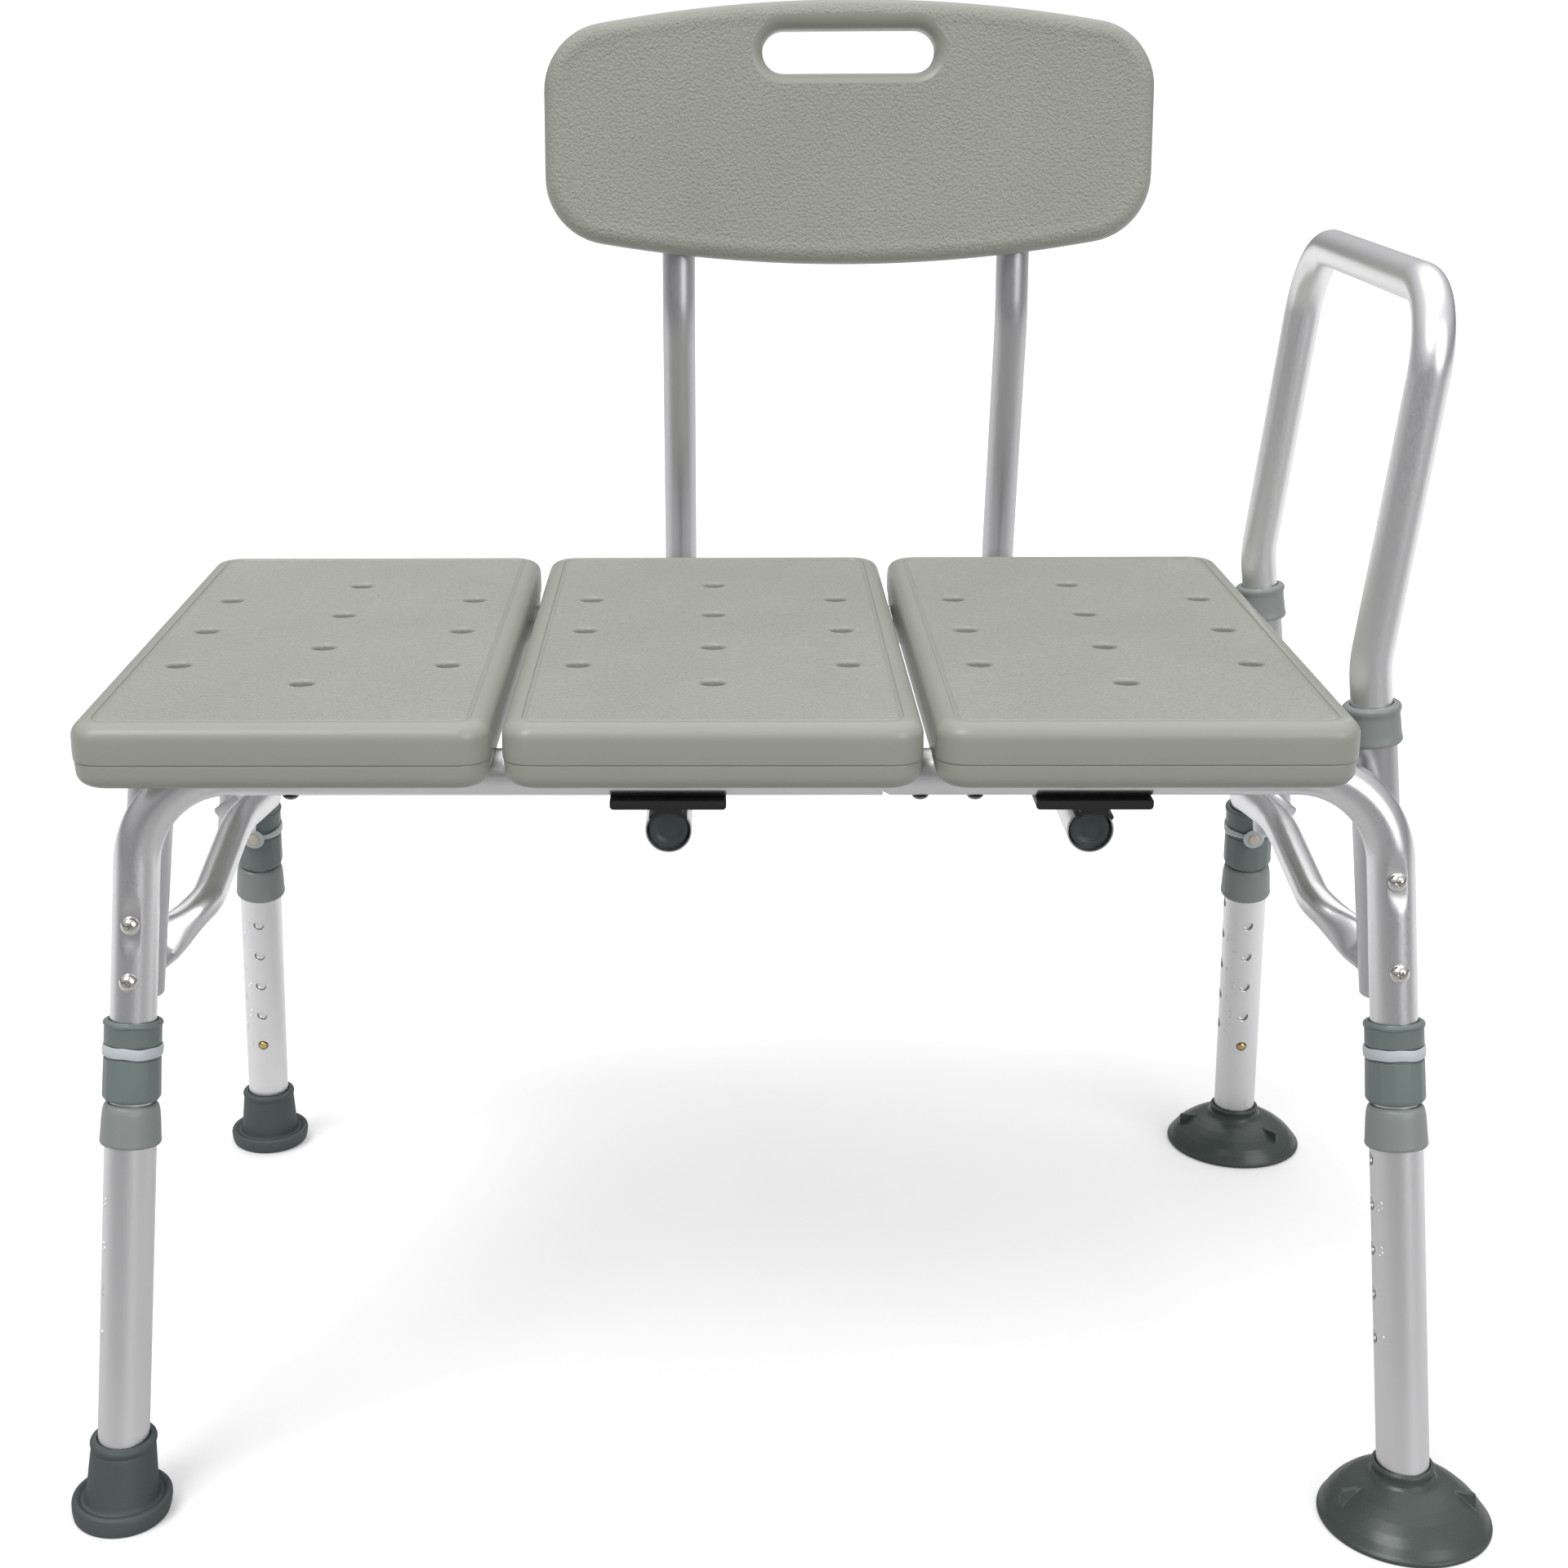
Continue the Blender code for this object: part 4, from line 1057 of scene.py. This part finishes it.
def slot_loop(grow):
    half_w, radius = SLOT_HALF_W - SLOT_HALF_H, SLOT_HALF_H + grow
    return arc((half_w, SLOT_RISE), radius, 90, -90, 16) + arc((-half_w, SLOT_RISE), radius, 270, 90, 16)


def backrest():
    t, r = PANEL_HALF_T, PANEL_EDGE_R
    front = edge_round(r, t)
    front += [(0.0115, t - 0.00006), (0.0135, t - 0.0002), (0.0160, t - 0.0004)]
    profile = [(inset, -z) for inset, z in reversed(front)] + front
    blank = skin([[(x, y, z) for x, y in back_outline(inset)] for inset, z in profile])
    for face in blank.polygons:
        flat = abs(face.normal.z) > 0.75 and abs(face.center.z) > t - 0.004
        face.material_index = 1 if flat else 0
    blank.materials.append(SAGE_RIM)
    blank.materials.append(SAGE_FIELD)
    flare = edge_round(r, t) + [(r + 0.001, t + 0.002)]
    flare = [(grow, -z) for grow, z in reversed(flare)] + flare
    slot_tool = skin([[(x, y, z) for x, y in slot_loop(grow)] for grow, z in flare])
    place = at(BACK_X, *PANEL_CENTRE) @ turn_x(math.pi / 2 - math.atan(BACK_LEAN))
    top_y = BACK_KINK[0] + BACK_LEAN * (BACK_TOP_Z - BACK_KINK[1])
    grooves = []
    for hand, side in HANDS.items():
        x = BACK_X + side * BACK_HALF_SPAN
        corners = [
            ((x, BACK_FRONT_Y, RECEIVER_Z), 0),
            ((x, BACK_CORNER_Y, RECEIVER_Z), BACK_BEND_R),
            ((x, *BACK_KINK), BACK_KINK_R),
            ((x, top_y, BACK_TOP_Z), 0),
        ]
        mesh = swept(rounded(corners, 3), BACK_TUBE_R, BACK_WALL)
        stand_in(f"back_tube_{hand}", mesh, BACK_TUBE, "backrest", "aluminium_tube")
        above = (x, top_y + BACK_LEAN * 0.001, BACK_TOP_Z + 0.001)
        groove = rod((x, *BACK_KINK), above, BACK_TUBE_R + 0.0005, 44)
        grooves.append(placed(groove, place.inverted()))
        face = [
            (0, 0.0022), (0.0060, 0.0022), (0.0078, 0.0034), (PLUG_R - 0.0010, 0.0035), (PLUG_R, 0.0026),
            (PLUG_R, GAP),
        ]
        stem = [(0.0092, GAP), (0.0092, -0.012), (0, -0.012)]
        spot = at(x, BACK_FRONT_Y, RECEIVER_Z) @ turn_x(math.pi / 2)
        plug = turned(softened(face, 0.0008) + stem)
        stand_in(f"back_tube_plug_{hand}", plug, PLUG, "backrest", "grey_plastic", spot)
        for label, level in BACK_SCREW_LEVELS.items():
            mesh = domed_screw(0.0050, 0.0028, 0.002, 0.012)
            rise = PANEL_CENTRE[1] + level
            behind = BACK_KINK[0] + BACK_LEAN * (rise - BACK_KINK[1]) + BACK_TUBE_R
            out = at(x, behind, rise) @ turn_x(-math.pi / 2 - math.atan(BACK_LEAN))
            piece(f"vis_back_screw_{hand}_{label}", mesh, NICKEL, "backrest", "nickel_screw", out, sharp=30)
    panel = cut(blank, slot_tool, joined(grooves))
    stand_in(
        "back_panel", panel, (SAGE_RIM, SAGE_FIELD), "backrest", "sage_plastic", place,
        sharp=50, weighted=True,
    )


def bracket_mesh():
    """A plate under the rail with a saddle that hugs the receiver's upper half."""
    top = RAIL_Z - TUBE_R - GAP - RECEIVER_Z
    under = top - PLATE_T
    saddle = arc((0, 0), SADDLE_BORE_R, 46, 134, 20)
    left = [
        (-0.0102, 0.0104), (-0.0104, 0.0116), (-0.0094, 0.0126), (-0.0078, 0.0136),
        (-0.0073, under - 0.0008), (-0.0080, under), (-PLATE_HALF_W + 0.0016, under),
        (-PLATE_HALF_W + 0.0004, under + 0.0006), (-PLATE_HALF_W, under + 0.0018), (-PLATE_HALF_W, top),
    ]
    loop = saddle + left + [(-x, y) for x, y in reversed(left)]
    half = BRACKET_DEPTH / 2
    return skin([[(x, y, z) for x, y in loop] for z in (-half, half)])


def receivers():
    top = RAIL_Z - TUBE_R - GAP
    for hand, side in HANDS.items():
        x = BACK_X + side * BACK_HALF_SPAN
        mesh = swept([Vector((x, y, RECEIVER_Z)) for y in RECEIVER_Y], TUBE_R, RECEIVER_WALL)
        stand_in(f"back_receiver_{hand}", mesh, TUBE, "frame", "aluminium_tube")
        for end, way in ENDS.items():
            spot = at(x, way * RAIL_Y, RECEIVER_Z) @ turn_x(math.pi / 2)
            name = f"back_bracket_{end}_{hand}"
            stand_in(name, bracket_mesh(), BLACK, "frame", "black_plastic", spot, sharp=30, bevel=0.0006)
            for k, off in (("a", -BRACKET_SCREW_X), ("b", BRACKET_SCREW_X)):
                mesh = domed_screw(0.0030, 0.0018, 0.0013, 0.003)
                low = at(x + off, way * RAIL_Y, top - PLATE_T - GAP) @ turn_x(math.pi)
                label = f"vis_bracket_screw_{end}_{hand}_{k}"
                piece(label, mesh, NICKEL, "frame", "nickel_screw", low, sharp=30)


def rail_bolts():
    """Bolts that hold the seat panels to the rails, seen from below."""
    for end, way in ENDS.items():
        for k, x in enumerate(RAIL_BOLT_X):
            mesh = domed_screw(0.0046, 0.0026, 0.002, 0.004)
            low = at(x, way * RAIL_Y, RAIL_Z - TUBE_R - 0.0001) @ turn_x(math.pi)
            piece(f"vis_rail_bolt_{end}_{k}", mesh, STEEL, "frame", "nickel_screw", low, sharp=30)


# --- Studio ---


def floor_finish():
    """A pale floor. The camera sees it even and glowing a little; other rays find it darker in front."""
    made = finish(
        "pale_floor", (0.92, 0.92, 0.92), 0.8, mottle=0.003, mottle_scale=0.6, grain=60, depth=0.0001,
        wear=0,
    )
    tree = made.node_tree
    shader = tree.nodes["Principled BSDF"]
    shader.inputs["Specular IOR Level"].default_value = 0.1
    seen = shader.inputs["Base Color"].links[0].from_socket
    split = node(tree, "ShaderNodeSeparateXYZ")
    tree.links.new(node(tree, "ShaderNodeTexCoord").outputs["Object"], split.inputs[0])
    reach = ranged(tree, split.outputs["Y"], *FLOOR_GREY, *FLOOR_GREY_Y)
    grey = node(tree, "ShaderNodeCombineColor")
    for socket in grey.inputs:
        if socket.name in ("Red", "Green", "Blue"):
            tree.links.new(reach, socket)
    path = node(tree, "ShaderNodeLightPath").outputs["Is Camera Ray"]
    tree.links.new(blended(tree, path, grey.outputs[0], seen), shader.inputs["Base Color"])
    shader.inputs["Emission Color"].default_value = (1, 1, 1, 1)
    tree.links.new(ranged(tree, path, 0, FLOOR_GLOW, 0, 1), shader.inputs["Emission Strength"])
    return made


def studio():
    scene = bpy.context.scene
    mesh = bpy.data.meshes.new("floor")
    mesh.from_pydata([(-12, -6, 0), (12, -6, 0), (12, 60, 0), (-12, 60, 0)], [], [(0, 1, 2, 3)])
    floor = bpy.data.objects.new("floor", mesh)
    scene.collection.objects.link(floor)
    mesh.materials.append(floor_finish())
    world = bpy.data.worlds.new("studio")
    scene.world = world
    world.use_nodes = True
    tree = world.node_tree
    lit = tree.nodes["Background"]
    split = node(tree, "ShaderNodeSeparateXYZ")
    tree.links.new(node(tree, "ShaderNodeTexCoord").outputs["Generated"], split.inputs[0])
    ramp = node(tree, "ShaderNodeValToRGB")
    stops = ramp.color_ramp.elements
    stops[0].position, stops[0].color = 0.0, (0.20, 0.20, 0.21, 1)
    stops[1].position, stops[1].color = 1.0, (1.0, 1.0, 1.0, 1)
    middle = stops.new(0.5)
    middle.color = (0.13, 0.13, 0.14, 1)
    higher = stops.new(0.70)
    higher.color = (0.62, 0.62, 0.63, 1)
    tree.links.new(ranged(tree, split.outputs["Z"], 0, 1, -1, 1), ramp.inputs["Fac"])
    tree.links.new(ramp.outputs["Color"], lit.inputs["Color"])
    lit.inputs["Strength"].default_value = 0.8
    plain = node(tree, "ShaderNodeBackground")
    plain.inputs["Color"].default_value = (1, 1, 1, 1)
    mix = node(tree, "ShaderNodeMixShader")
    tree.links.new(node(tree, "ShaderNodeLightPath").outputs["Is Camera Ray"], mix.inputs["Fac"])
    tree.links.new(lit.outputs[0], mix.inputs[1])
    tree.links.new(plain.outputs[0], mix.inputs[2])
    tree.links.new(mix.outputs[0], tree.nodes["World Output"].inputs["Surface"])
    lights = [
        ("key", (-0.45, -0.60, 1.0), 30, 1.25),
        ("fill", (0.7, -1.0, 0.55), 40, 0.85),
        ("top", (0.1, 0.35, 1.0), 70, 0.62),
    ]
    for name, way, spread, strength in lights:
        lamp = bpy.data.lights.new(name, "SUN")
        lamp.angle = math.radians(spread)
        lamp.energy = strength
        holder = bpy.data.objects.new(name, lamp)
        scene.collection.objects.link(holder)
        holder.location = Vector(way) * 3
        holder.rotation_euler = (-Vector(way)).to_track_quat("-Z", "Y").to_euler()
    scene.view_settings.view_transform = "Standard"


def camera():
    lens = bpy.data.cameras.new("camera")
    lens.sensor_width = SENSOR_WIDTH
    lens.lens = FOCAL_LENGTH
    lens.shift_x = LENS_SHIFT_X
    holder = bpy.data.objects.new("camera", lens)
    bpy.context.scene.collection.objects.link(holder)
    right = Vector(CAMERA_RIGHT).normalized()
    back = Vector(CAMERA_BACK).normalized()
    up = back.cross(right).normalized()
    turn = Matrix((right, up, back)).transposed()
    holder.matrix_world = Matrix.Translation(CAMERA_SPOT) @ turn.to_4x4()
    bpy.context.scene.camera = holder


seat_panels()
frame_rails()
arm_sockets()
arm_rail()
side_braces()
leg_screws()
legs()
receivers()
backrest()
rail_bolts()
studio()
camera()
